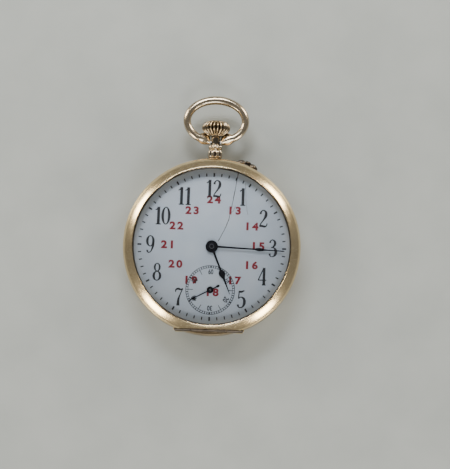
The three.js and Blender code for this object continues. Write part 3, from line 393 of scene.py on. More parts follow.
def gold_finish(name, bright, dull, roughness, scratch, grime=0.35):
    f = Finish(name)
    broad = f.noise(f.centred(), 0.35, 3.0)
    fine = f.noise(f.centred(), 4.0, 5.0, 0.65)
    lines = []
    for angle in SCRATCH_ANGLES:
        stretched = f.node("ShaderNodeMapping", None, {
            "Vector": f.centred(),
            "Rotation": (0.2, 0.1, math.radians(angle)),
            "Scale": (0.35, 9.0, 3.0),
        })["Vector"]
        lines.append(f.spread(f.noise(stretched, 1.6, 2.0), 0.60, 0.72))
    scratches = lines[0] + lines[1]
    dirt_and_painted_shade = f.spread(broad * 0.6 + fine * 0.4, 0.42, 0.68)
    # The groove attribute mixes in painted shade between ribs; the broad and fine noise above is dirt.
    groove = f.node("ShaderNodeAttribute", {"attribute_name": "groove"})["Fac"]
    worn = f.mix(dirt_and_painted_shade * grime, bright, dull)
    f.set(
        Base_Color=f.mix(f.spread(groove, 0.25, 0.85), worn, GROOVE_PAINTED_SHADE),
        Metallic=1.0,
        Roughness=roughness + fine * 0.10 + scratches * 0.08,
        Normal=f.bump(scratches * 0.5 + fine * 0.35, scratch, 0.01),
    )
    return f.material


case_gold = gold_finish(
    "case_gold_polish", colour(0.85, 0.665, 0.385), colour(0.45, 0.33, 0.19), 0.15, 0.20)
# The bow and the pendant take a darker, greyer copy of the case gold; the darkness is painted shade.
bow_gold_painted_shade = gold_finish(
    "case_gold_bow_painted_shade", colour(0.60, 0.49, 0.34), colour(0.30, 0.23, 0.16), 0.15, 0.22, 0.6)
# The crown's gold is rougher and more scratched from wear, and its darker colour is painted shade.
worn_gold = gold_finish(
    "case_gold_worn_painted_shade", colour(0.36, 0.285, 0.185), colour(0.14, 0.105, 0.07), 0.20, 0.32, 0.7)
# The band takes a darker copy of the case gold: painted shade on its side, which mirrors a shaded table.
band_gold_painted_shade = gold_finish(
    "case_gold_band_painted_shade", colour(0.50, 0.37, 0.22), colour(0.25, 0.18, 0.11), 0.20, 0.25, 0.6)
# A near-black copy of the gold: painted shade on the hinge knuckles and pins and in the crystal's seat, and
# partly tarnish, partly painted shade on the pusher and its guard.
dark_gold = gold_finish(
    "case_gold_tarnish_and_painted_shade", colour(0.13, 0.105, 0.08), colour(0.04, 0.032, 0.028), 0.24, 0.40, 0.8)
inner_gold = gold_finish(
    "cover_gold_inside", colour(0.82, 0.62, 0.32), colour(0.55, 0.38, 0.18), 0.16, 0.22)
print("gold finishes made")

# %% [markdown]
# ## Enamel, ink, steel and glass
# Enamel is glass on copper: nearly white with a cold cast, very smooth, with the faintest cloud in it.
# The ink is fired into it, so it is only a little less glossy. The hands are steel blued almost to
# black. The crystal is drawn as a thin shine over clear air, because a thick refracting glass would
# shade the dial.

# %% Enamel, ink, steel and glass
def enamel_finish():
    f = Finish("dial_enamel")
    cloud = f.noise(f.centred(), 0.16, 3.0)
    speck = f.noise(f.centred(), 3.5, 4.0, 0.6)
    cold = f.mix(f.spread(cloud, 0.35, 0.65), colour(0.565, 0.635, 0.72), colour(0.625, 0.685, 0.755))
    f.set(
        Base_Color=f.mix(f.spread(speck, 0.66, 0.80, 0.0, 0.10), cold, colour(0.5, 0.5, 0.5)),
        Roughness=0.16 + speck * 0.08,
        Normal=f.bump(cloud * 0.7 + speck * 0.3, 0.06, 0.03),
    )
    f.set(Coat_Weight=0.35, Coat_Roughness=0.06)
    return f.material


def ink_finish(name, deep, faded):
    f = Finish(name)
    grain = f.noise(f.centred(), 6.0, 3.0)
    f.set(
        Base_Color=f.mix(f.spread(grain, 0.35, 0.7), deep, faded),
        Roughness=0.30 + grain * 0.15,
        Normal=f.bump(grain, 0.15, 0.01),
    )
    return f.material


GRAINING = 38.0


def steel_finish(name, bright, shade, roughness, line, centre=(0.0, 0.0)):
    """Steel or brass with the fine circular graining of its own lathe."""
    f = Finish(name)
    where = f.centred(*centre)
    parts = f.node("ShaderNodeSeparateXYZ", None, {"Vector": where})
    radius = (parts["X"] * parts["X"] + parts["Y"] * parts["Y"]) ** 0.5
    rings = (radius * GRAINING).sine() * 0.5 + 0.5
    cloud = f.noise(where, 1.1, 4.0)
    grain = f.noise(where, 9.0, 3.0)
    f.set(
        Base_Color=f.mix(f.spread(cloud * 0.7 + grain * 0.3, 0.38, 0.66), bright, shade),
        Metallic=1.0,
        Roughness=roughness + cloud * 0.10 + rings * 0.05,
        Normal=f.bump(rings * 0.6 + grain * 0.4, line, 0.006),
    )
    return f.material


def crystal_finish():
    f = Finish("crystal_glass")
    f.nodes.remove(f.shader)
    smear = f.noise(f.centred(), 0.5, 3.0)
    clear = f.node("ShaderNodeBsdfTransparent", None, {"Color": colour(0.985, 0.99, 0.995)})["BSDF"]
    shine = f.node("ShaderNodeBsdfGlossy", None, {
        "Color": colour(1, 1, 1), "Roughness": 0.03,
    })["BSDF"]
    fresnel = f.node("ShaderNodeFresnel", None, {"IOR": 1.42})["Fac"]
    share = fresnel * (0.80 + f.spread(smear, 0.4, 0.7) * 0.03)
    both = f.node("ShaderNodeMixShader", None, {0: share, 1: clear, 2: shine})
    output = f.nodes["Material Output"]
    f.links.new(both[0].socket, output.inputs["Surface"])
    return f.material


enamel = enamel_finish()
black_ink = ink_finish("dial_ink_black", colour(0.012, 0.012, 0.016), colour(0.030, 0.030, 0.036))
red_ink = ink_finish("dial_ink_red", colour(0.23, 0.009, 0.020), colour(0.29, 0.020, 0.032))
crack_ink = ink_finish("dial_crack", colour(0.045, 0.042, 0.042), colour(0.11, 0.105, 0.10))
hand_steel = steel_finish(
    "hand_steel_blued", colour(0.012, 0.013, 0.020), colour(0.006, 0.006, 0.009), 0.30, 0.05)
glass = crystal_finish()
print("dial finishes made")

# %% [markdown]
# ## The dial
# A real dial is a copper disc with enamel fired on it, so its rim is softly rounded and the hole for
# the hands has a rolled lip. It is turned as a ring about the hands' axis. The seconds hole isn't cut,
# because the hub of the seconds hand covers it.

# %% Dial plate
HAND_HOLE = 1.3
DIAL_BACK = DIAL_TOP - 0.7
dial_plate = turned([
    (HAND_HOLE, DIAL_BACK), (DIAL_RADIUS - 0.15, DIAL_BACK), (DIAL_RADIUS, DIAL_TOP - 0.55),
    (DIAL_RADIUS, DIAL_TOP - 0.18), (DIAL_RADIUS - 0.06, DIAL_TOP - 0.05), (DIAL_RADIUS - 0.2, DIAL_TOP),
    (HAND_HOLE + 0.12, DIAL_TOP), (HAND_HOLE, DIAL_TOP - 0.1),
], 160, closed=True)
piece("dial_plate", dial_plate, "case", "dial_enamel", enamel, "dial")

# %% [markdown]
# ## Printed marks
# Ink stands a hundredth of a millimetre proud of the enamel. Every mark is a thin slab made by one of
# the outline helpers: ticks and rings by formula, the tall numerals with a broad pen that is thick on
# the way down and thin across, and the small ones in the built-in typeface.

# %% Ink helpers
INK_LOW = DIAL_TOP - 0.01
INK_HIGH = DIAL_TOP + 0.014


def clock(radius, degrees, centre=(0.0, 0.0)):
    """The point at a distance and an angle clockwise of twelve."""
    angle = math.radians(degrees)
    return Vector((centre[0] + radius * math.sin(angle), centre[1] + radius * math.cos(angle)))


def tick(inner, outer, width, degrees, centre=(0.0, 0.0)):
    start, end = clock(inner, degrees, centre), clock(outer, degrees, centre)
    return stroke([(*start, width), (*end, width)], INK_LOW, INK_HIGH)


def ink_ring(radius, width, centre):
    ring = turned([
        (radius - width / 2, INK_LOW), (radius + width / 2, INK_LOW),
        (radius + width / 2, INK_HIGH), (radius - width / 2, INK_HIGH),
    ], 96, closed=True)
    return moved(ring, at(*centre))


def lettering(text, height, bold, squeeze):
    """Numerals in the built-in typeface, centred, raised as ink."""
    curve = bpy.data.curves.new("lettering", "FONT")
    curve.body = text
    curve.offset = bold
    curve.resolution_u = 3
    holder = bpy.data.objects.new("lettering", curve)
    flat = bpy.data.meshes.new_from_object(holder)
    bm = bmesh.new()
    bm.from_mesh(flat)
    bpy.data.objects.remove(holder)
    bpy.data.curves.remove(curve)
    bpy.data.meshes.remove(flat)
    bmesh.ops.remove_doubles(bm, verts=bm.verts, dist=1e-5)
    bmesh.ops.dissolve_degenerate(bm, edges=bm.edges, dist=1e-4)
    xs = [v.co.x for v in bm.verts]
    ys = [v.co.y for v in bm.verts]
    size = height / (max(ys) - min(ys))
    middle = at(-(max(xs) + min(xs)) / 2, -(max(ys) + min(ys)) / 2)
    moved(bm, at(0, 0, INK_LOW) @ Matrix.Diagonal((size * squeeze, size, 1, 1)) @ middle)
    grown = bmesh.ops.extrude_face_region(bm, geom=bm.faces[:])
    upper = [item for item in grown["geom"] if isinstance(item, bmesh.types.BMVert)]
    bmesh.ops.translate(bm, vec=(0, 0, INK_HIGH - INK_LOW), verts=upper)
    bmesh.ops.recalc_face_normals(bm, faces=bm.faces)
    return bm


print("ink stands", round(INK_HIGH - DIAL_TOP, 3), "mm proud")

# %% [markdown]
# The pen for the hour numerals: each figure is a few strokes of (x, y, width) in a box one unit high.
# Rings are strokes round an ellipse whose width swells at the sides, which gives the contrast of an
# engraved figure.

# %% Pen figures
RING_POINTS = 24
THIN_LINE = 0.045


def ring_stroke(x, y, across, up, thick=0.15):
    points = []
    for i in range(RING_POINTS + 1):
        angle = math.radians(360 * i / RING_POINTS)
        width = THIN_LINE + (thick - THIN_LINE) * abs(math.cos(angle)) ** 1.6
        points.append((x + across * math.cos(angle), y + up * math.sin(angle), width))
    return points


FIGURES = {
    "0": [ring_stroke(0.27, 0.5, 0.2, 0.475)],
    "1": [
        [(0.24, 0.0, 0.16), (0.24, 0.99, 0.16)],
        [(0.22, 0.96, 0.07), (0.14, 0.86, 0.05), (0.04, 0.81, 0.03)],
        [(0.08, 0.018, 0.036), (0.40, 0.018, 0.036)],
    ],
    "2": [
        [(0.10, 0.74, 0.13), (0.12, 0.86, 0.09), (0.26, 0.97, 0.05), (0.42, 0.86, 0.13), (0.42, 0.66, 0.16),
         (0.30, 0.44, 0.09), (0.12, 0.20, 0.05), (0.05, 0.05, 0.05)],
        [(0.04, 0.05, 0.08), (0.18, 0.08, 0.12), (0.36, 0.05, 0.12), (0.47, 0.10, 0.05), (0.51, 0.23, 0.03)],
    ],
    "3": [
        [(0.09, 0.80, 0.12), (0.14, 0.92, 0.06), (0.26, 0.97, 0.05), (0.39, 0.86, 0.13), (0.38, 0.68, 0.13),
         (0.26, 0.56, 0.05), (0.17, 0.545, 0.03)],
        [(0.17, 0.545, 0.03), (0.33, 0.53, 0.06), (0.45, 0.38, 0.15), (0.43, 0.15, 0.14), (0.28, 0.03, 0.05),
         (0.13, 0.05, 0.06), (0.08, 0.19, 0.12)],
    ],
    "4": [
        [(0.36, 0.98, 0.06), (0.04, 0.29, 0.05)],
        [(0.02, 0.285, 0.05), (0.53, 0.285, 0.05)],
        [(0.38, 0.0, 0.15), (0.38, 0.98, 0.15)],
        [(0.26, 0.018, 0.036), (0.50, 0.018, 0.036)],
    ],
    "5": [
        [(0.13, 0.95, 0.05), (0.10, 0.52, 0.05)],
        [(0.12, 0.92, 0.10), (0.26, 0.90, 0.12), (0.45, 0.98, 0.04)],
        [(0.10, 0.52, 0.04), (0.25, 0.61, 0.06), (0.43, 0.50, 0.14), (0.46, 0.27, 0.16), (0.36, 0.07, 0.09),
         (0.20, 0.02, 0.05), (0.09, 0.08, 0.08), (0.08, 0.19, 0.12)],
    ],
    "7": [
        [(0.05, 0.76, 0.03), (0.08, 0.90, 0.08), (0.22, 0.94, 0.12), (0.36, 0.90, 0.09), (0.48, 0.96, 0.04)],
        [(0.48, 0.96, 0.04), (0.34, 0.64, 0.06), (0.24, 0.36, 0.12), (0.22, 0.0, 0.17)],
    ],
    "8": [ring_stroke(0.27, 0.755, 0.15, 0.215, 0.11), ring_stroke(0.27, 0.275, 0.195, 0.25, 0.14)],
    "9": [
        ring_stroke(0.26, 0.68, 0.185, 0.29, 0.14),
        [(0.445, 0.68, 0.13), (0.43, 0.42, 0.13), (0.34, 0.14, 0.07), (0.20, 0.03, 0.05), (0.10, 0.09, 0.08),
         (0.10, 0.17, 0.11)],
    ],
}
NARROW = 0.42
WIDE = 0.55
SQUEEZE = 0.92
THINNEST = 0.062


def figures(text, height):
    """A number written with the pen, centred on the origin."""
    step = [NARROW if letter == "1" else WIDE for letter in text]
    strokes = []
    start = -sum(step) / 2
    for letter, advance in zip(text, step):
        for points in FIGURES[letter]:
            line = [
                ((start + x) * height * SQUEEZE, (y - 0.5) * height, max(width, THINNEST) * height)
                for x, y, width in points
            ]
            strokes.append(stroke(line, INK_LOW, INK_HIGH, 4))
        start += advance
    return gathered(*strokes)


print("the pen writes", *FIGURES)

# %% [markdown]
# Eleven tall black hours stand upright; the seconds ring takes the place of the six. Their distance
# from the middle varies a little, as on a hand-laid transfer, so each has its own distance and angle.

# %% Black hours
HOUR_HEIGHT = 4.85
hour_places = {
    12: (15.9, 0), 1: (16.0, 29.6), 2: (16.0, 59.4), 3: (16.6, 89.6), 4: (15.9, 118.6), 5: (16.35, 148.6),
    7: (16.2, 211), 8: (16.3, 243.2), 9: (16.65, 270.4), 10: (15.85, 300.4), 11: (15.75, 329.9),
}
tall = []
for hour, (radius, degrees) in hour_places.items():
    tall.append(moved(figures(str(hour), HOUR_HEIGHT), at(*clock(radius, degrees))))
piece("dial_hours_black", gathered(*tall), "case", "dial_enamel", black_ink)

# %% [markdown]
# The minutes are short bars near the dial's rim, and every fifth is longer and bolder.

# %% Minutes
TICK_RADIUS = 19.65
ticks = []
for minute in range(60):
    bold = minute % 5 == 0
    half = 0.53 if bold else 0.43
    ticks.append(tick(TICK_RADIUS - half, TICK_RADIUS + half, 0.46 if bold else 0.32, minute * 6))
piece("dial_minute_ticks", gathered(*ticks), "case", "dial_enamel", black_ink)

# %% [markdown]
# The red hours from thirteen to twenty-four stand inside the black ones. Their two figures are spaced one
# by one, because the built-in typeface would set them too close for enamel.

# %% Red hours
RED_HEIGHT = 2.2
RED_BOLD = 0.045
RED_SQUEEZE = 1.15
RED_HALF_STEP = 1.06
red_places = {
    24: (12.9, 0.6), 13: (11.6, 30), 14: (12.1, 61), 15: (12.5, 87.5), 16: (11.8, 113.5),
    17: (11.05, 144.6), 18: (12.4, 178), 19: (10.75, 210.5), 20: (10.9, 242.5), 21: (11.9, 271),
    22: (11.2, 299), 23: (11.25, 330),
}
red = []
for hour, (radius, degrees) in red_places.items():
    for letter, side in zip(str(hour), (-1, 1)):
        spot = at(*clock(radius, degrees)) @ at(side * RED_HALF_STEP, 0)
        red.append(moved(lettering(letter, RED_HEIGHT, RED_BOLD, RED_SQUEEZE), spot))
piece("dial_hours_red", gathered(*red), "case", "dial_enamel", red_ink)

# %% [markdown]
# The seconds ring is a fine railway: two hairlines with a bar for each second, a dot every ten and a
# longer bar at the fives between them, and six small numerals that lean out from the middle.

# %% Seconds ring
RAIL_OUTSIDE = 6.62
RAIL_INSIDE = 6.02
seconds_at = (0.0, -11.8)
rail = [ink_ring(RAIL_OUTSIDE, 0.15, seconds_at), ink_ring(RAIL_INSIDE, 0.11, seconds_at)]
for second in range(60):
    degrees = second * 6
    if second % 10 == 0:
        dot = disc(0.26, INK_LOW, INK_HIGH + 0.004, 16)
        rail.append(moved(dot, at(*clock((RAIL_OUTSIDE + RAIL_INSIDE) / 2, degrees, seconds_at))))
    elif second % 5 == 0:
        rail.append(tick(4.7, RAIL_OUTSIDE, 0.17, degrees, seconds_at))
    else:
        rail.append(tick(RAIL_INSIDE, RAIL_OUTSIDE, 0.23, degrees, seconds_at))
for second in range(0, 60, 10):
    small = lettering(str(second or 60), 1.45, 0.03, 0.75)
    rail.append(moved(small, at(*clock(4.95, second * 6, seconds_at)) @ turn(-second * 6)))
piece("dial_seconds_ring", gathered(*rail), "case", "dial_enamel", black_ink)

# %% [markdown]
# Old enamel has hairlines. A crack is a stroke a few hundredths wide that wanders a little; the
# wandering is drawn from the seeded chance, so it is the same every time.

# %% Hairlines in the enamel
WANDER = 0.05


def hairline(points, width):
    line = []
    for point in smooth_line(points, 7):
        x = point.x + chance.uniform(-WANDER, WANDER)
        y = point.y + chance.uniform(-WANDER, WANDER)
        line.append((x, y, width * chance.uniform(0.6, 1.3)))
    return stroke(line, INK_LOW, DIAL_TOP + 0.008, 1)


cracks = [
    hairline([(1.7, 1.5), (3.8, 5.9), (4.7, 9.2), (5.6, 14.3), (6.35, 19.2), (6.6, 21.0)], 0.2),
    hairline([(8.6, 17.6), (8.8, 14.5), (8.9, 12.2), (9.5, 9.0)], 0.08),
    hairline([(4.7, 9.2), (5.6, 10.1), (6.1, 11.4)], 0.07),
]
piece("dial_hairlines", gathered(*cracks), "case", "dial_enamel", crack_ink)

# %% [markdown]
# ## The hands
# Each hand is stamped from thin steel: a slender stem, a pear-shaped swelling and a fine tip. Half
# widths along its length give the outline, which is smoothed, mirrored by sign and raised, and its
# upper edge is softened so that it catches a line of light. The hub is turned separately.

# %% Hands
hour_low, hour_high = reach("hour_hand")
minute_low, minute_high = reach("minute_hand")
second_low, second_high = reach("seconds_hand")


def hand_blade(widths, degrees, centre, low, high):
    line = smooth_line(widths, 5)
    outline = [(p.y, p.x) for p in line] + [(-p.y, p.x) for p in reversed(line)]
    blade = raised(outline, low, high, 0.035)
    return moved(blade, at(*centre) @ turn(-degrees))


def hub(hole, radius, low, high, centre=(0.0, 0.0)):
    ring = turned([
        (hole, low), (radius, low), (radius, high - 0.06), (radius - 0.08, high), (hole + 0.05, high),
        (hole, high - 0.05),
    ], 48, closed=True)
    return moved(ring, at(*centre))


hour_hand = gathered(
    hand_blade([
        (1.1, 0.34), (2.2, 0.27), (4.5, 0.24), (6.5, 0.24), (7.0, 0.42), (7.4, 0.74), (7.9, 0.86),
        (8.4, 0.76), (8.9, 0.5), (9.6, 0.27), (11.2, 0.17), (13.9, 0.06),
    ], 157.5, (0, 0), hour_low.z, hour_high.z),
    hub(1.12, 1.68, hour_low.z, hour_high.z + 0.05),
)
piece("hour_hand_blade", hour_hand, "hour_wheel", "hand_steel", hand_steel, "hour_hand")

minute_hand = gathered(
    hand_blade([
        (1.1, 0.32), (2.4, 0.27), (6.5, 0.24), (11.2, 0.21), (11.9, 0.3), (12.6, 0.44), (13.1, 0.46),
        (13.8, 0.34), (14.8, 0.2), (17.5, 0.15), (18.9, 0.14), (19.3, 0.17), (19.78, 0.06),
    ], 92, (0, 0), minute_low.z, minute_high.z),
    hub(0.67, 1.62, minute_low.z, minute_high.z + 0.07),
)
piece("minute_hand_blade", minute_hand, "centre_wheel", "hand_steel", hand_steel, "minute_hand")

seconds_hand = gathered(
    hand_blade([
        (-2.8, 0.08), (-2.62, 0.26), (-2.3, 0.33), (-1.95, 0.24), (-1.4, 0.14), (0, 0.16), (3.8, 0.12),
        (4.5, 0.17), (5.1, 0.27), (5.6, 0.2), (6.1, 0.09), (6.5, 0.04),
    ], 242, seconds_at, second_low.z, second_high.z),
    hub(0.3, 0.9, second_low.z, second_high.z + 0.04, seconds_at),
)
piece("seconds_hand_blade", seconds_hand, "fourth_wheel", "hand_steel", hand_steel, "seconds_hand")

# %% [markdown]
# The cannon pinion comes up through the hands as a domed cap, blued like them, and the seconds arbor
# shows as a light point in its ring.

# %% Caps of the arbors
bright_steel = steel_finish(
    "steel_polished", colour(0.62, 0.62, 0.63), colour(0.40, 0.40, 0.42), 0.12, 0.08)
cap_top = reach("cannon_pinion")[1].z
cap = turned([
    (0, cap_top - 0.5), (0.665, cap_top - 0.5), (0.665, cap_top - 0.1), (0.5, cap_top + 0.02),
    (0, cap_top + 0.05),
], 32)
piece("cannon_cap", cap, "centre_wheel", "hand_steel", hand_steel)
point = turned([
    (0, second_low.z), (0.22, second_low.z), (0.22, second_high.z + 0.05), (0, second_high.z + 0.08),
], 24)
piece("seconds_arbor_cap", moved(point, at(*seconds_at)), "fourth_wheel", "polished_steel", bright_steel)

# %% [markdown]
# ## Bezel and crystal
# The bezel is one turned ring whose front slopes up to the crystal and rounds over at the outside; a
# groove inside its lip holds the crystal. At six o'clock it is cut off flat for the hinge, which
# `bisect_plane` does as a saw would, and the hinge's outer knuckles belong to it.

# %% Bezel
def capped_cut(bm, through, normal):
    """Saw off what lies on the normal's side of a plane, and close the cut."""
    bmesh.ops.bisect_plane(
        bm, geom=bm.verts[:] + bm.edges[:] + bm.faces[:], dist=1e-5, plane_co=through,
        plane_no=normal, clear_outer=True,
    )
    rim = [e for e in bm.edges if e.is_boundary]
    bmesh.ops.holes_fill(bm, edges=rim, sides=0)
    bmesh.ops.recalc_face_normals(bm, faces=bm.faces)
    return bm


lip_z = BEZEL_TOP - 0.45
groove_z = BEZEL_BOTTOM + 1.3
slope = [(0.33, 0.0), (0.14, 0.4), (0.28, 0.85), (0.85, 1.45), (1.65, 2.08), (2.4, 2.56)]
front = smooth_line([(CASE_RADIUS - inset, BEZEL_BOTTOM + rise) for inset, rise in slope] + [
    (OPENING_RADIUS + 0.22, BEZEL_TOP - 0.03), (OPENING_RADIUS, lip_z),
], 7)
bezel_ring = turned(front + [
    (OPENING_RADIUS, groove_z + 0.6), (OPENING_RADIUS + 0.55, groove_z + 0.5),
    (OPENING_RADIUS + 0.55, groove_z), (OPENING_RADIUS, groove_z - 0.1), (OPENING_RADIUS, BEZEL_BOTTOM),
], 192, closed=True)
capped_cut(bezel_ring, (0, HINGE_Y, BEZEL_HINGE_Z), (0, -1, 0.14))
BEZEL_KNUCKLE = HINGE_HALF / 2
bezel_knuckles = [
    cross_rod(
        HINGE_TUBE, side * (BEZEL_KNUCKLE + KNUCKLE_GAP), side * HINGE_HALF, HINGE_Y, BEZEL_HINGE_Z, 0.2)
    for side in (-1, 1)
]
piece("bezel_ring", bezel_ring, "bezel", "case_gold", case_gold, "bezel")
# The bezel's knuckles are near-black gold, painted shade for the hinge's gap.
piece("bezel_knuckles", gathered(*bezel_knuckles), "bezel", "case_gold", dark_gold)

# %% [markdown]
# Dirt and old cement gather where the crystal meets the bezel, and shade falls in the groove there; the thin
# dark line paints both, partly dirt and partly painted shade.

# %% Line under the lip
seat_line = turned([
    (OPENING_RADIUS - 0.24, groove_z + 0.63), (OPENING_RADIUS + 0.02, groove_z + 0.62),
    (OPENING_RADIUS + 0.05, lip_z + 0.22), (OPENING_RADIUS - 0.06, lip_z + 0.2),
    (OPENING_RADIUS - 0.24, lip_z - 0.1),
], 160, closed=True)
piece("bezel_seat_line", seat_line, "bezel", "case_gold", dark_gold)

# %% [markdown]
# The crystal is a shallow dome of even thickness, sprung into the bezel's groove by a flat rim. Both
# faces follow the same curve, so the profile runs along the inner one, round the rim and back.

# %% Crystal
DOME_STEPS = 14
GLASS_THICK = 0.5


def dome(radius, edge_z, top_z):
    """Points of a shallow dome from its rim to its top."""
    points = []
    for k in range(DOME_STEPS + 1):
        share = math.cos(k / DOME_STEPS * math.pi / 2)
        points.append((radius * share, edge_z + (top_z - edge_z) * (1 - share ** 2)))
    return points


crystal_low, crystal_high = reach("crystal")
glass_radius = crystal_high.x
inside_radius = OPENING_RADIUS - 0.07
outer_dome = dome(inside_radius, crystal_low.z + GLASS_THICK, crystal_high.z)
inner_dome = dome(inside_radius, crystal_low.z, crystal_high.z - GLASS_THICK)
crystal_shape = turned(
    inner_dome[::-1] + [(glass_radius, crystal_low.z), (glass_radius, crystal_low.z + 0.4)] + outer_dome, 128)
piece("crystal_dome", crystal_shape, "bezel", "crystal_glass", glass, "crystal", corner=50)

# %% [markdown]
# ## The band
# The band carries everything. It is a turned ring with a gentle swell, a seat for the movement and a
# ledge for the dial, and the middle knuckles of both hinges. Where the bezel is cut away its shoulder
# shows as a plain strip.

# %% Band
BAND_BOTTOM = BACK_DEPTH + 0.05
LEDGE_DEPTH = 1.5
FREE_PLAY = 0.07
swell = smooth_line([
    (CASE_RADIUS - 0.66, BAND_BOTTOM), (CASE_RADIUS - 0.3, BACK_DEPTH + 0.6),
    (CASE_RADIUS - 0.08, BACK_DEPTH + 1.5), (CASE_RADIUS, (BAND_BOTTOM + DIAL_TOP) / 2),
    (CASE_RADIUS - 0.08, DIAL_TOP - 1.45), (CASE_RADIUS - 0.25, DIAL_TOP - 0.5),
    (CASE_RADIUS - 0.5, DIAL_TOP),
], 7)
ledge = DIAL_RADIUS + FREE_PLAY
seat = MOVEMENT_RADIUS + FREE_PLAY
band = turned(swell + [
    (ledge, DIAL_TOP), (ledge, DIAL_TOP - LEDGE_DEPTH), (seat, DIAL_TOP - LEDGE_DEPTH), (seat, BAND_BOTTOM),
], 192, closed=True)
band_knuckles = []
for half, level in ((BEZEL_KNUCKLE, BEZEL_HINGE_Z), (HINGE_HALF / 3, BACK_HINGE_Z)):
    band_knuckles.append(cross_rod(HINGE_TUBE, -half + KNUCKLE_GAP, half - KNUCKLE_GAP, HINGE_Y, level))
# The band's darker gold is painted shade.
piece("case_band", band, "case", "case_gold", band_gold_painted_shade, "mid_case")
# The band's knuckles are near-black gold, painted shade for the hinge's gap.
piece("band_knuckles", gathered(*band_knuckles), "case", "case_gold", dark_gold)

# %% [markdown]
# The ends of the hinge pin are riveted over and polished by handling, so they shine as two small dots.

# %% Ends of the hinge pin
pin_ends = []
for side in (-1, 1):
    end = turned([(0, 0), (0.36, 0), (0.33, 0.12), (0.2, 0.22), (0, 0.25)], 24)
    spot = at(side * (HINGE_HALF + 0.03), HINGE_Y, BEZEL_HINGE_Z)
    pin_ends.append(moved(end, spot @ turn(side * 90, "Y")))
piece("hinge_pin_ends", gathered(*pin_ends), "case", "worn_gold", case_gold)

# %% [markdown]
# ## The covers
# Both covers are spun shells, each a shallow bowl of nearly even wall. The outer one has a flat to
# rest on, and a tab and a knuckle at each end of the hinge.

# %% Back cover
outer_shell = smooth_line([
    (9.0, 0.0), (16.03, 0.36), (20.53, 0.96), (22.63, 1.62), (23.55, 2.3), (CASE_RADIUS - 0.35, BACK_DEPTH),
], 6)
inner_shell = smooth_line([(22.75, 2.1), (20.53, 1.44), (16.03, 0.81), (9.0, 0.45)], 6)
back_shell = turned([(0, 0), *outer_shell, (22.75, BACK_DEPTH), *inner_shell, (0, 0.45)], 160)
capped_cut(back_shell, (0, HINGE_Y + 0.75, 0), (0, -1, 0))


def box(low, high):
    bm = bmesh.new()
    bmesh.ops.create_cube(bm, size=1)
    size = [b - a for a, b in zip(low, high)]
    middle = [(b + a) / 2 for a, b in zip(low, high)]
    moved(bm, Matrix.Translation(middle) @ Matrix.Diagonal((*size, 1)))
    bmesh.ops.bevel(
        bm, geom=bm.edges[:], offset=min(size) * 0.12, offset_type="OFFSET", segments=2, profile=0.5,
        affect="EDGES", clamp_overlap=True, material=-1,
    )
    return bm


DUST_KNUCKLE = HINGE_HALF * 2 / 3
tabs = []
for side in (-1, 1):
    ends = sorted((side * (DUST_KNUCKLE + KNUCKLE_GAP), side * HINGE_HALF))
    tabs.append(box((ends[0], HINGE_Y + 0.2, 2.18), (ends[1], HINGE_Y + 0.8, 2.9)))
    tabs.append(cross_rod(HINGE_TUBE, *ends, HINGE_Y, BACK_HINGE_Z))
piece("back_cover_shell", gathered(back_shell, *tabs), "back_cover", "case_gold", case_gold, "back_cover")

# %% [markdown]
# The dust cover closes over the movement inside the back cover. Its rim turns up to snap on the band,
# and its two knuckles lie between the band's and the back cover's on the same pin.

# %% Dust cover
DUST_TOP = 2.95
dust_rim = reach("dust_cover")[1].x
dust_outer = smooth_line(
    [(0, 1.05), (9.0, 1.12), (17.03, 1.35), (21.0, 1.72), (22.3, 2.2), (dust_rim, 2.6)], 5)
dust_inner = smooth_line(
    [(21.9, DUST_TOP), (21.4, 2.22), (20.2, 1.98), (17.03, 1.7), (9.0, 1.47), (0, 1.4)], 5)
dust_parts = [turned([*dust_outer, (dust_rim, DUST_TOP), *dust_inner], 160)]
for side in (-1, 1):
    ends = side * (HINGE_HALF / 3 + KNUCKLE_GAP), side * (DUST_KNUCKLE - KNUCKLE_GAP)
    dust_parts.append(cross_rod(HINGE_TUBE, *ends, HINGE_Y, BACK_HINGE_Z))
piece("dust_cover_shell", gathered(*dust_parts), "dust_cover", "case_gold", inner_gold, "dust_cover")

# %% [markdown]
# ## Crown
# The crown is an onion of gold with twenty-two round ribs. It is spun smooth, then every point in the
# ribbed belt is drawn in between the ribs, which rounds each rib without adding a piece.

# %% Crown
RIBS = 22
FADE = 0.5


def fluted(bm, count, depth, low, high, power):
    """Draw in a shape turned about Z between its ribs, from low to high, fading in at both ends."""
    # The groove layer marks where the gold between the ribs is darkened with painted shade.
    dirt_and_painted_shade = bm.verts.layers.float.new("groove")
    for v in bm.verts:
        share = min(max((v.co.z - low) / FADE, 0.0), 1.0) * min(max((high - v.co.z) / FADE, 0.0), 1.0)
        angle = math.atan2(v.co.y, v.co.x)
        groove = (1 - abs(math.cos(angle * count / 2))) ** power
        v[dirt_and_painted_shade] = groove * share
        shrink = 1 - depth * groove * share
        v.co.x *= shrink
        v.co.y *= shrink
    return bm


foot = crown_low.y
top = crown_high.y
height = top - foot
crown_radius = crown_high.x
crown_line = smooth_line([
    (0, foot), (1.9, foot), (2.15, foot + 0.06), (2.9, foot + 0.16 * height),
    (crown_radius - 0.2, foot + 0.36 * height), (crown_radius, foot + 0.56 * height),
    (crown_radius - 0.3, foot + 0.76 * height), (crown_radius - 1.0, foot + 0.91 * height),
    (1.7, top - 0.08), (0, top),
], 5)
onion = fluted(turned(crown_line, RIBS * 12), RIBS, 0.2, foot + 0.1, top - 0.35, 0.9)
# The crown's darker gold is painted shade; its roughness and scratches are wear.
piece("crown_onion", on_stem(onion), "crown", "worn_gold", worn_gold, "crown", corner=60)
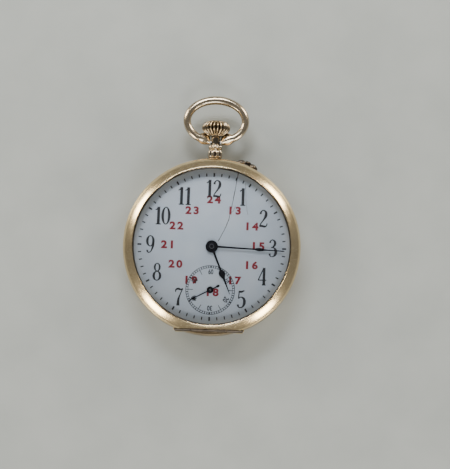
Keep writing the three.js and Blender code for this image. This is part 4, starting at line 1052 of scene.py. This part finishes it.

# %% [markdown]
# ## Pendant
# The pendant is turned in one: a foot ring, a lobed collar, a waist and a ring of beads under the neck
# that the bow swings on. The lobes are drawn in like the crown's ribs; the beads are balls set round.
# The foot and the neck are darkened with the grooves' painted shade too.

# %% Pendant
LOBES = 8
HALF_LOBE = 22.5
FOOT_AND_NECK_PAINTED_SHADE = 0.7
pendant_foot = reach("pendant")[0].y
pendant_profile = [
    (0.8, 0.02), (1.65, 0.02), (1.7, 0.4), (2.0, 0.7), (2.08, 1.4), (2.0, 2.1), (1.55, 2.65),
    (1.4, 2.85), (1.5, 3.3), (1.4, 3.85), (1.2, 4.2), (1.2, 6.15), (0.75, 6.2),
]
pendant_line = smooth_line([(radius, pendant_foot + rise) for radius, rise in pendant_profile], 4)
collar = turned(pendant_line, 128, closed=True)
fluted(collar, LOBES, 0.28, pendant_foot + 0.4, pendant_foot + 2.6, 1.3)
dirt_and_painted_shade = collar.verts.layers.float["groove"]
# Painted shade on the foot ring and on the neck between the bow's ears.
for v in collar.verts:
    if v.co.z < pendant_foot + 0.45 or v.co.z > pendant_foot + 3.9:
        v[dirt_and_painted_shade] = FOOT_AND_NECK_PAINTED_SHADE
beads = []
for i in range(LOBES):
    bead = bmesh.new()
    bmesh.ops.create_uvsphere(bead, u_segments=20, v_segments=12, radius=0.6)
    beads.append(moved(bead, turn(2 * HALF_LOBE * i) @ at(1.4, 0, pendant_foot + 3.35)))
collar = moved(gathered(collar, *beads), turn(HALF_LOBE))
# The pendant's darker gold is painted shade.
piece("pendant_turned", on_stem(collar), "case", "case_gold", bow_gold_painted_shade, "pendant")

# %% [markdown]
# ## Bow
# The bow is one length of round wire bent to an oval, whose ends are filed to leaf-shaped ears with a
# ridge down the middle. A row of sections follows the oval: round along the wire and a little fuller
# at the top, then wider and sharper through each ear, and narrowing to its pivot.

# %% Bow
BOW_WIRE = 1.05
EAR_REACH = 5
TOP_SWELL = 0.12
bow_pivot_y = crown_low.y - 1.55
bow_high = reach("bow")[1]
half_width = bow_high.x - BOW_WIRE
half_height = 0.457 * (bow_high.y - bow_pivot_y)
bow_middle = bow_high.y - BOW_WIRE - half_height
ear_angle = math.asin(EAR_REACH / half_width)
joint_y = bow_middle - half_height * math.cos(ear_angle)
ear = [
    (4.65, joint_y - 0.16, 1.08, 1.05, 1.0),
    (4.15, joint_y - 0.22, 1.40, 1.00, 1.2),
    (3.5, joint_y - 0.34, 1.64, 0.95, 1.5),
    (2.9, joint_y - 0.66, 1.54, 0.92, 1.6),
    (2.3, joint_y - 1.05, 1.26, 0.88, 1.5),
    (1.85, joint_y - 1.36, 0.80, 0.80, 1.3),
    (1.5, joint_y - 1.52, 0.60, 0.62, 1.1),
]
route = [(-x, y, wide, high, r) for x, y, wide, high, r in reversed(ear)]
WIRE_STEPS = 72
for i in range(WIRE_STEPS + 1):
    angle = -ear_angle - (2 * math.pi - 2 * ear_angle) * i / WIRE_STEPS
    thick = BOW_WIRE + TOP_SWELL * max(0.0, -math.cos(angle)) ** 2
    x = half_width * math.sin(angle)
    y = bow_middle - half_height * math.cos(angle)
    route.append((x, y, thick, BOW_WIRE, 1.0))
route += ear
sections = []
for i, (x, y, wide, high, roundness) in enumerate(route):
    ahead = route[min(i + 1, len(route) - 1)]
    behind = route[max(i - 1, 0)]
    heading = math.atan2(ahead[1] - behind[1], ahead[0] - behind[0])
    place = at(x, y, STEM_Z) @ Matrix.Rotation(heading, 4, "Z") @ turn(90, "Y") @ turn(90, "Z")
    sections.append((place, wide, high, roundness))
# The bow's darker gold is painted shade.
piece("bow_ring", lofted(sections, 32), "bow", "case_gold", bow_gold_painted_shade, "bow", corner=48)

# %% [markdown]
# ## Pin-set pusher
# Beside the crown a small pusher sits between two leaf-shaped guards, so that it is pressed only with
# a nail. The guards are balls squeezed to leaves; the whole is made at twelve and turned to its place.

# %% Pusher and guard
PUSHER_DEGREES = 21.3
LEAF_SIZE = (1.4, 0.92, 1.35)


def beside(bm):
    return moved(bm, turn(-PUSHER_DEGREES))


def leaf(side):
    bm = bmesh.new()
    bmesh.ops.create_uvsphere(bm, u_segments=28, v_segments=16, radius=1)
    for v in bm.verts:
        v.co.y *= 0.78 + 0.22 * math.cos(v.co.x * 1.4)
    spot = at(side * 1.62, CASE_RADIUS + 0.42, STEM_Z)
    return moved(bm, spot @ turn(-side * 9) @ Matrix.Diagonal((*LEAF_SIZE, 1)))


foot_plate = box((-2.6, CASE_RADIUS - 0.6, STEM_Z - 1.2), (2.6, CASE_RADIUS + 0.32, STEM_Z + 1.2))
guard = gathered(leaf(-1), leaf(1), foot_plate)
# The guard and the pusher are near-black gold, partly tarnish and partly painted shade.
piece("guard_leaves", beside(guard), "case", "worn_gold", dark_gold, "pusher_guard")
button_profile = [(0, 0.9), (0.72, 0.95), (0.75, 1.3), (0.5, 1.5), (0, 1.55)]
button = turned(smooth_line([(radius, CASE_RADIUS + rise) for radius, rise in button_profile], 4), 32)
rod = disc(0.44, MOVEMENT_RADIUS - 1.08, CASE_RADIUS + 1.0, 24)
pusher = beside(on_stem(gathered(button, rod)))
piece("pusher_button", pusher, "pusher", "polished_steel", dark_gold, "setting_pusher")

# %% [markdown]
# ## The movement's finishes
# The plates are brass, gilt and left with a fine frosted grain. Steel parts are polished, springs and
# screws are blued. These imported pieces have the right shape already, so only their finish changes.

# %% Movement finishes
def frosted_finish(name, bright, shade):
    f = Finish(name)
    grain = f.noise(f.centred(), 7.0, 6.0, 0.7)
    cloud = f.noise(f.centred(), 0.25, 3.0)
    f.set(
        Base_Color=f.mix(f.spread(grain * 0.5 + cloud * 0.5, 0.40, 0.62), bright, shade),
        Metallic=1.0,
        Roughness=0.30 + grain * 0.16,
        Normal=f.bump(grain, 0.35, 0.012),
    )
    return f.material


def middle_of(node):
    """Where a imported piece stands, seen along the hands' axis."""
    low, high = reach(node)
    return (low.x + high.x) / 2, (low.y + high.y) / 2


def refinish(material, *nodes):
    """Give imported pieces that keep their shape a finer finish."""
    for node in nodes:
        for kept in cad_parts[node].material_slots:
            kept.material = material
    print(material.name, "on", *nodes)


PALE_STEEL = colour(0.66, 0.66, 0.67)
STEEL_SHADE = colour(0.44, 0.45, 0.47)
gilt = frosted_finish("plate_gilt_frosted", colour(0.86, 0.64, 0.33), colour(0.70, 0.47, 0.20))
polished = steel_finish("steel_bright", PALE_STEEL, STEEL_SHADE, 0.14, 0.10)
blued = steel_finish("steel_blued", colour(0.035, 0.065, 0.30), colour(0.020, 0.030, 0.12), 0.16, 0.08)
refinish(gilt, "main_plate", "barrel_bridge", "train_bridge", "balance_cock", "pallet_bridge")
refinish(blued, "hairspring", "click_spring", "mainspring", "crown_wheel_core")
refinish(polished, "click", "setting_lever", "winding_stem", "winding_pinion", "clutch_wheel", "pallet_fork",
         "impulse_roller", "balance_staff", "barrel_arbor", "cannon_pinion", "regulator", "setting_wheel",
         "bow_screw_left", "bow_screw_right", "case_screw_1", "case_screw_2")
# The hinge pins are painted dark with shade like the knuckles.
refinish(dark_gold, "bezel_hinge_pin", "back_hinge_pin")

# %% [markdown]
# A wheel keeps the fine circles of its own lathe, so its graining has to be centred on its own arbor.
# The same finish is made once for each wheel, measured from where that wheel stands.

# %% Wheels
BRASS = colour(0.80, 0.58, 0.27)
BRASS_SHADE = colour(0.62, 0.41, 0.17)
for metal, bright, shade, roughness, line, wheels in (
    ("brass", BRASS, BRASS_SHADE, 0.20, 0.22, (
        "barrel", "barrel_cover", "centre_wheel", "third_wheel", "fourth_wheel", "balance_wheel",
        "minute_wheel", "hour_wheel")),
    ("steel", PALE_STEEL, STEEL_SHADE, 0.15, 0.30, ("crown_wheel", "ratchet_wheel", "escape_wheel")),
):
    for wheel in wheels:
        refinish(steel_finish(f"{metal}_{wheel}", bright, shade, roughness, line, middle_of(wheel)), wheel)

# %% [markdown]
# ## Screws and jewels
# Seen from the back, the screws are the fine work: a head with a softened edge and a slot, blued by
# heat. A head is a disc with two half moons standing on it, which leaves the slot between them.

# %% Slotted screws
MOON_STEPS = 16
SLOT_SHARE = 0.13


def half_moon(radius, slot, side):
    points = []
    edge = math.asin(slot / radius)
    for k in range(MOON_STEPS + 1):
        angle = edge + (math.pi - 2 * edge) * k / MOON_STEPS
        points.append((radius * math.cos(angle), side * radius * math.sin(angle)))
    return points if side > 0 else points[::-1]


def slotted(radius, base, slot_floor, top, degrees):
    """A screw head about Z whose top may be above or below its base."""
    low, high = sorted((base, slot_floor))
    shapes = [disc(radius, low, high, 40)]
    for side in (-1, 1):
        moon = raised(half_moon(radius, radius * SLOT_SHARE, side), 0, abs(top - slot_floor), 0.05)
        over = turn(180, "X") if top < slot_floor else Matrix.Identity(4)
        shapes.append(moved(moon, at(0, 0, slot_floor) @ over))
    return moved(gathered(*shapes), turn(degrees))


for node in ("barrel_bridge_screw_1", "barrel_bridge_screw_2", "train_bridge_screw_1",
             "train_bridge_screw_2", "balance_cock_screw"):
    low, high = reach(node)
    head = slotted((high.x - low.x) / 2, low.z + 0.45, low.z + 0.22, low.z, chance.uniform(0, 180))
    shank = disc(0.5, low.z + 0.4, high.z, 24)
    screw = moved(gathered(head, shank), at(*middle_of(node)))
    piece(f"{node}_slotted", screw, "case", "blued_steel", blued, node)

low, high = reach("ratchet_screw")
screw = slotted((high.x - low.x) / 2, high.z, high.z - 0.14, low.z, 35)
moved(screw, at(*middle_of("ratchet_screw")))
piece("ratchet_screw_slotted", screw, "ratchet", "blued_steel", blued, "ratchet_screw")

# %% [markdown]
# The jewels are rubies turned with a cup for oil, set in the train bridge over the arbors that turn in
# them.

# %% Jewels
def ruby_finish():
    f = Finish("jewel_ruby")
    cloud = f.noise(f.centred(), 2.0, 3.0)
    f.set(
        Base_Color=f.mix(f.spread(cloud, 0.4, 0.6), colour(0.50, 0.012, 0.06), colour(0.34, 0.006, 0.03)),
        Roughness=0.05 + cloud * 0.06,
    )
    f.set(Coat_Weight=0.6, Coat_Roughness=0.03)
    return f.material


ruby = ruby_finish()
bridge_face = reach("train_bridge")[0].z
jewel_profile = [
    (0, 0.05), (0.25, 0.03), (0.62, -0.10), (0.78, -0.10), (0.85, -0.02), (0.85, 0.2), (0, 0.2),
]
jewels = []
for wheel in ("third_wheel", "fourth_wheel", "escape_wheel"):
    jewel = turned([(radius, bridge_face + rise) for radius, rise in jewel_profile], 40)
    jewels.append(moved(jewel, at(*middle_of(wheel))))
piece("train_jewels", gathered(*jewels), "case", "polished_steel", ruby, corner=50)

# %% [markdown]
# ## Balance screws
# The balance's rim carries small screws that trim its weight. They are heads set evenly round the
# rim, facing outwards, and they ride on the balance.

# %% Balance screws
RIM_SCREWS = 14
low, high = reach("balance_wheel")
rim_radius = (high.x - low.x) / 2
heads = []
for i in range(RIM_SCREWS):
    head = disc(0.27, 0, 0.3, 16, 0.05)
    moved(head, at(rim_radius - 0.12, 0, (low.z + high.z) / 2) @ turn(90, "Y"))
    heads.append(moved(head, at(*middle_of("balance_wheel")) @ turn(360 / RIM_SCREWS * (i + 0.5))))
balance_brass = steel_finish(
    "brass_balance_screws", colour(0.82, 0.60, 0.28), colour(0.60, 0.40, 0.17), 0.16, 0.1)
piece("balance_screws", gathered(*heads), "balance", "wheel_brass", balance_brass)

# %% [markdown]
# ## The table top
# The watch lies on its back on a pale lacquered surface with the least grey-green in it. A faint
# grain keeps the reflections soft.

# %% Floor
TABLE_HALF = 1.2
TABLE_DROP = 0.0001


def floor_finish():
    f = Finish("pale_table")
    grain = f.noise(f.centred(), 0.06, 3.0)
    pale, paler = colour(0.325, 0.347, 0.338), colour(0.352, 0.373, 0.365)
    f.set(
        Base_Color=f.mix(f.spread(grain, 0.35, 0.65), pale, paler),
        Roughness=0.36 + grain * 0.08,
        Normal=f.bump(f.noise(f.centred(), 0.5, 4.0), 0.05, 0.05),
    )
    return f.material


floor_shape = bmesh.new()
bmesh.ops.create_grid(floor_shape, x_segments=1, y_segments=1, size=TABLE_HALF)
floor_mesh = bpy.data.meshes.new("table_top")
floor_shape.to_mesh(floor_mesh)
floor_shape.free()
floor_mesh.materials.append(floor_finish())
floor = bpy.data.objects.new("table_top", floor_mesh)
floor.location.z = -TABLE_DROP
scene.collection.objects.link(floor)
print("table top", 2 * TABLE_HALF, "m wide")

# %% [markdown]
# ## Light
# Polished gold is only as bright as what it mirrors. Four soft panels stand round the watch, low
# enough for the rounded bezel to catch them at ten, between one and two, between four and five and
# between seven and eight o'clock, and two larger panels higher up light the dial evenly from above
# and below. The gaps between the low ones leave the bezel brown at twelve and six.

# %% Lights
def panel(name, azimuth, elevation, distance, size, power, tint):
    """A soft panel that faces the watch: azimuth clockwise of twelve, elevation above the table."""
    light = bpy.data.lights.new(name, "AREA")
    light.shape = "RECTANGLE"
    light.size, light.size_y = size
    light.energy = power
    light.color = tint
    holder = bpy.data.objects.new(name, light)
    scene.collection.objects.link(holder)
    around, up = math.radians(azimuth), math.radians(elevation)
    spot = Vector((math.sin(around) * math.cos(up), math.cos(around) * math.cos(up), math.sin(up))) * distance
    holder.location = spot
    holder.rotation_euler = (-spot).to_track_quat("-Z", "Y").to_euler()
    print(name, power, "W")


WARM = (1.0, 0.91, 0.74)
COOL = (0.96, 0.98, 1.0)
LOW_PANEL = (22, 0.55)
HIGH_PANEL = (46, 0.75)
panel("panel_ten", 303, *LOW_PANEL, (0.15, 0.20), 1.9, WARM)
panel("panel_two", 45, *LOW_PANEL, (0.15, 0.20), 1.9, WARM)
panel("panel_five", 136, *LOW_PANEL, (0.15, 0.18), 1.7, WARM)
panel("panel_eight", 226, *LOW_PANEL, (0.16, 0.18), 1.8, WARM)
panel("panel_above", 350, *HIGH_PANEL, (0.40, 0.20), 4.8, COOL)
panel("panel_below", 172, *HIGH_PANEL, (0.34, 0.18), 1.8, COOL)

world = bpy.data.worlds.new("soft_room")
world.use_nodes = True
room = world.node_tree.nodes["Background"].inputs
room["Color"].default_value = colour(0.60, 0.62, 0.64)
room["Strength"].default_value = 0.33
scene.world = world

# %% [markdown]
# ## Camera
# The watch is seen from almost straight above, tilted a few degrees towards six o'clock, with a long
# lens so that the hands and the dial's edge keep their places.

# %% Camera
ROLL = math.radians(2.0)
TILT = math.radians(6.0)
DISTANCE = 0.4
AIM_ASIDE = (3.60, 3.30)
lens = bpy.data.cameras.new("watch_camera")
lens.sensor_width = 36
lens.lens = 113
lens.sensor_fit = "AUTO"
camera = bpy.data.objects.new("watch_camera", lens)
scene.collection.objects.link(camera)
facing = Matrix.Rotation(ROLL, 4, "Z") @ Matrix.Rotation(TILT, 4, "X")
aim = Vector((0, 0, DIAL_TOP)) * MM + Matrix.Rotation(ROLL, 3, "Z") @ Vector((*AIM_ASIDE, 0)) * MM
camera.matrix_world = Matrix.Translation(aim + facing.to_3x3() @ Vector((0, 0, DISTANCE))) @ facing
scene.camera = camera
print("camera", DISTANCE, "m away")
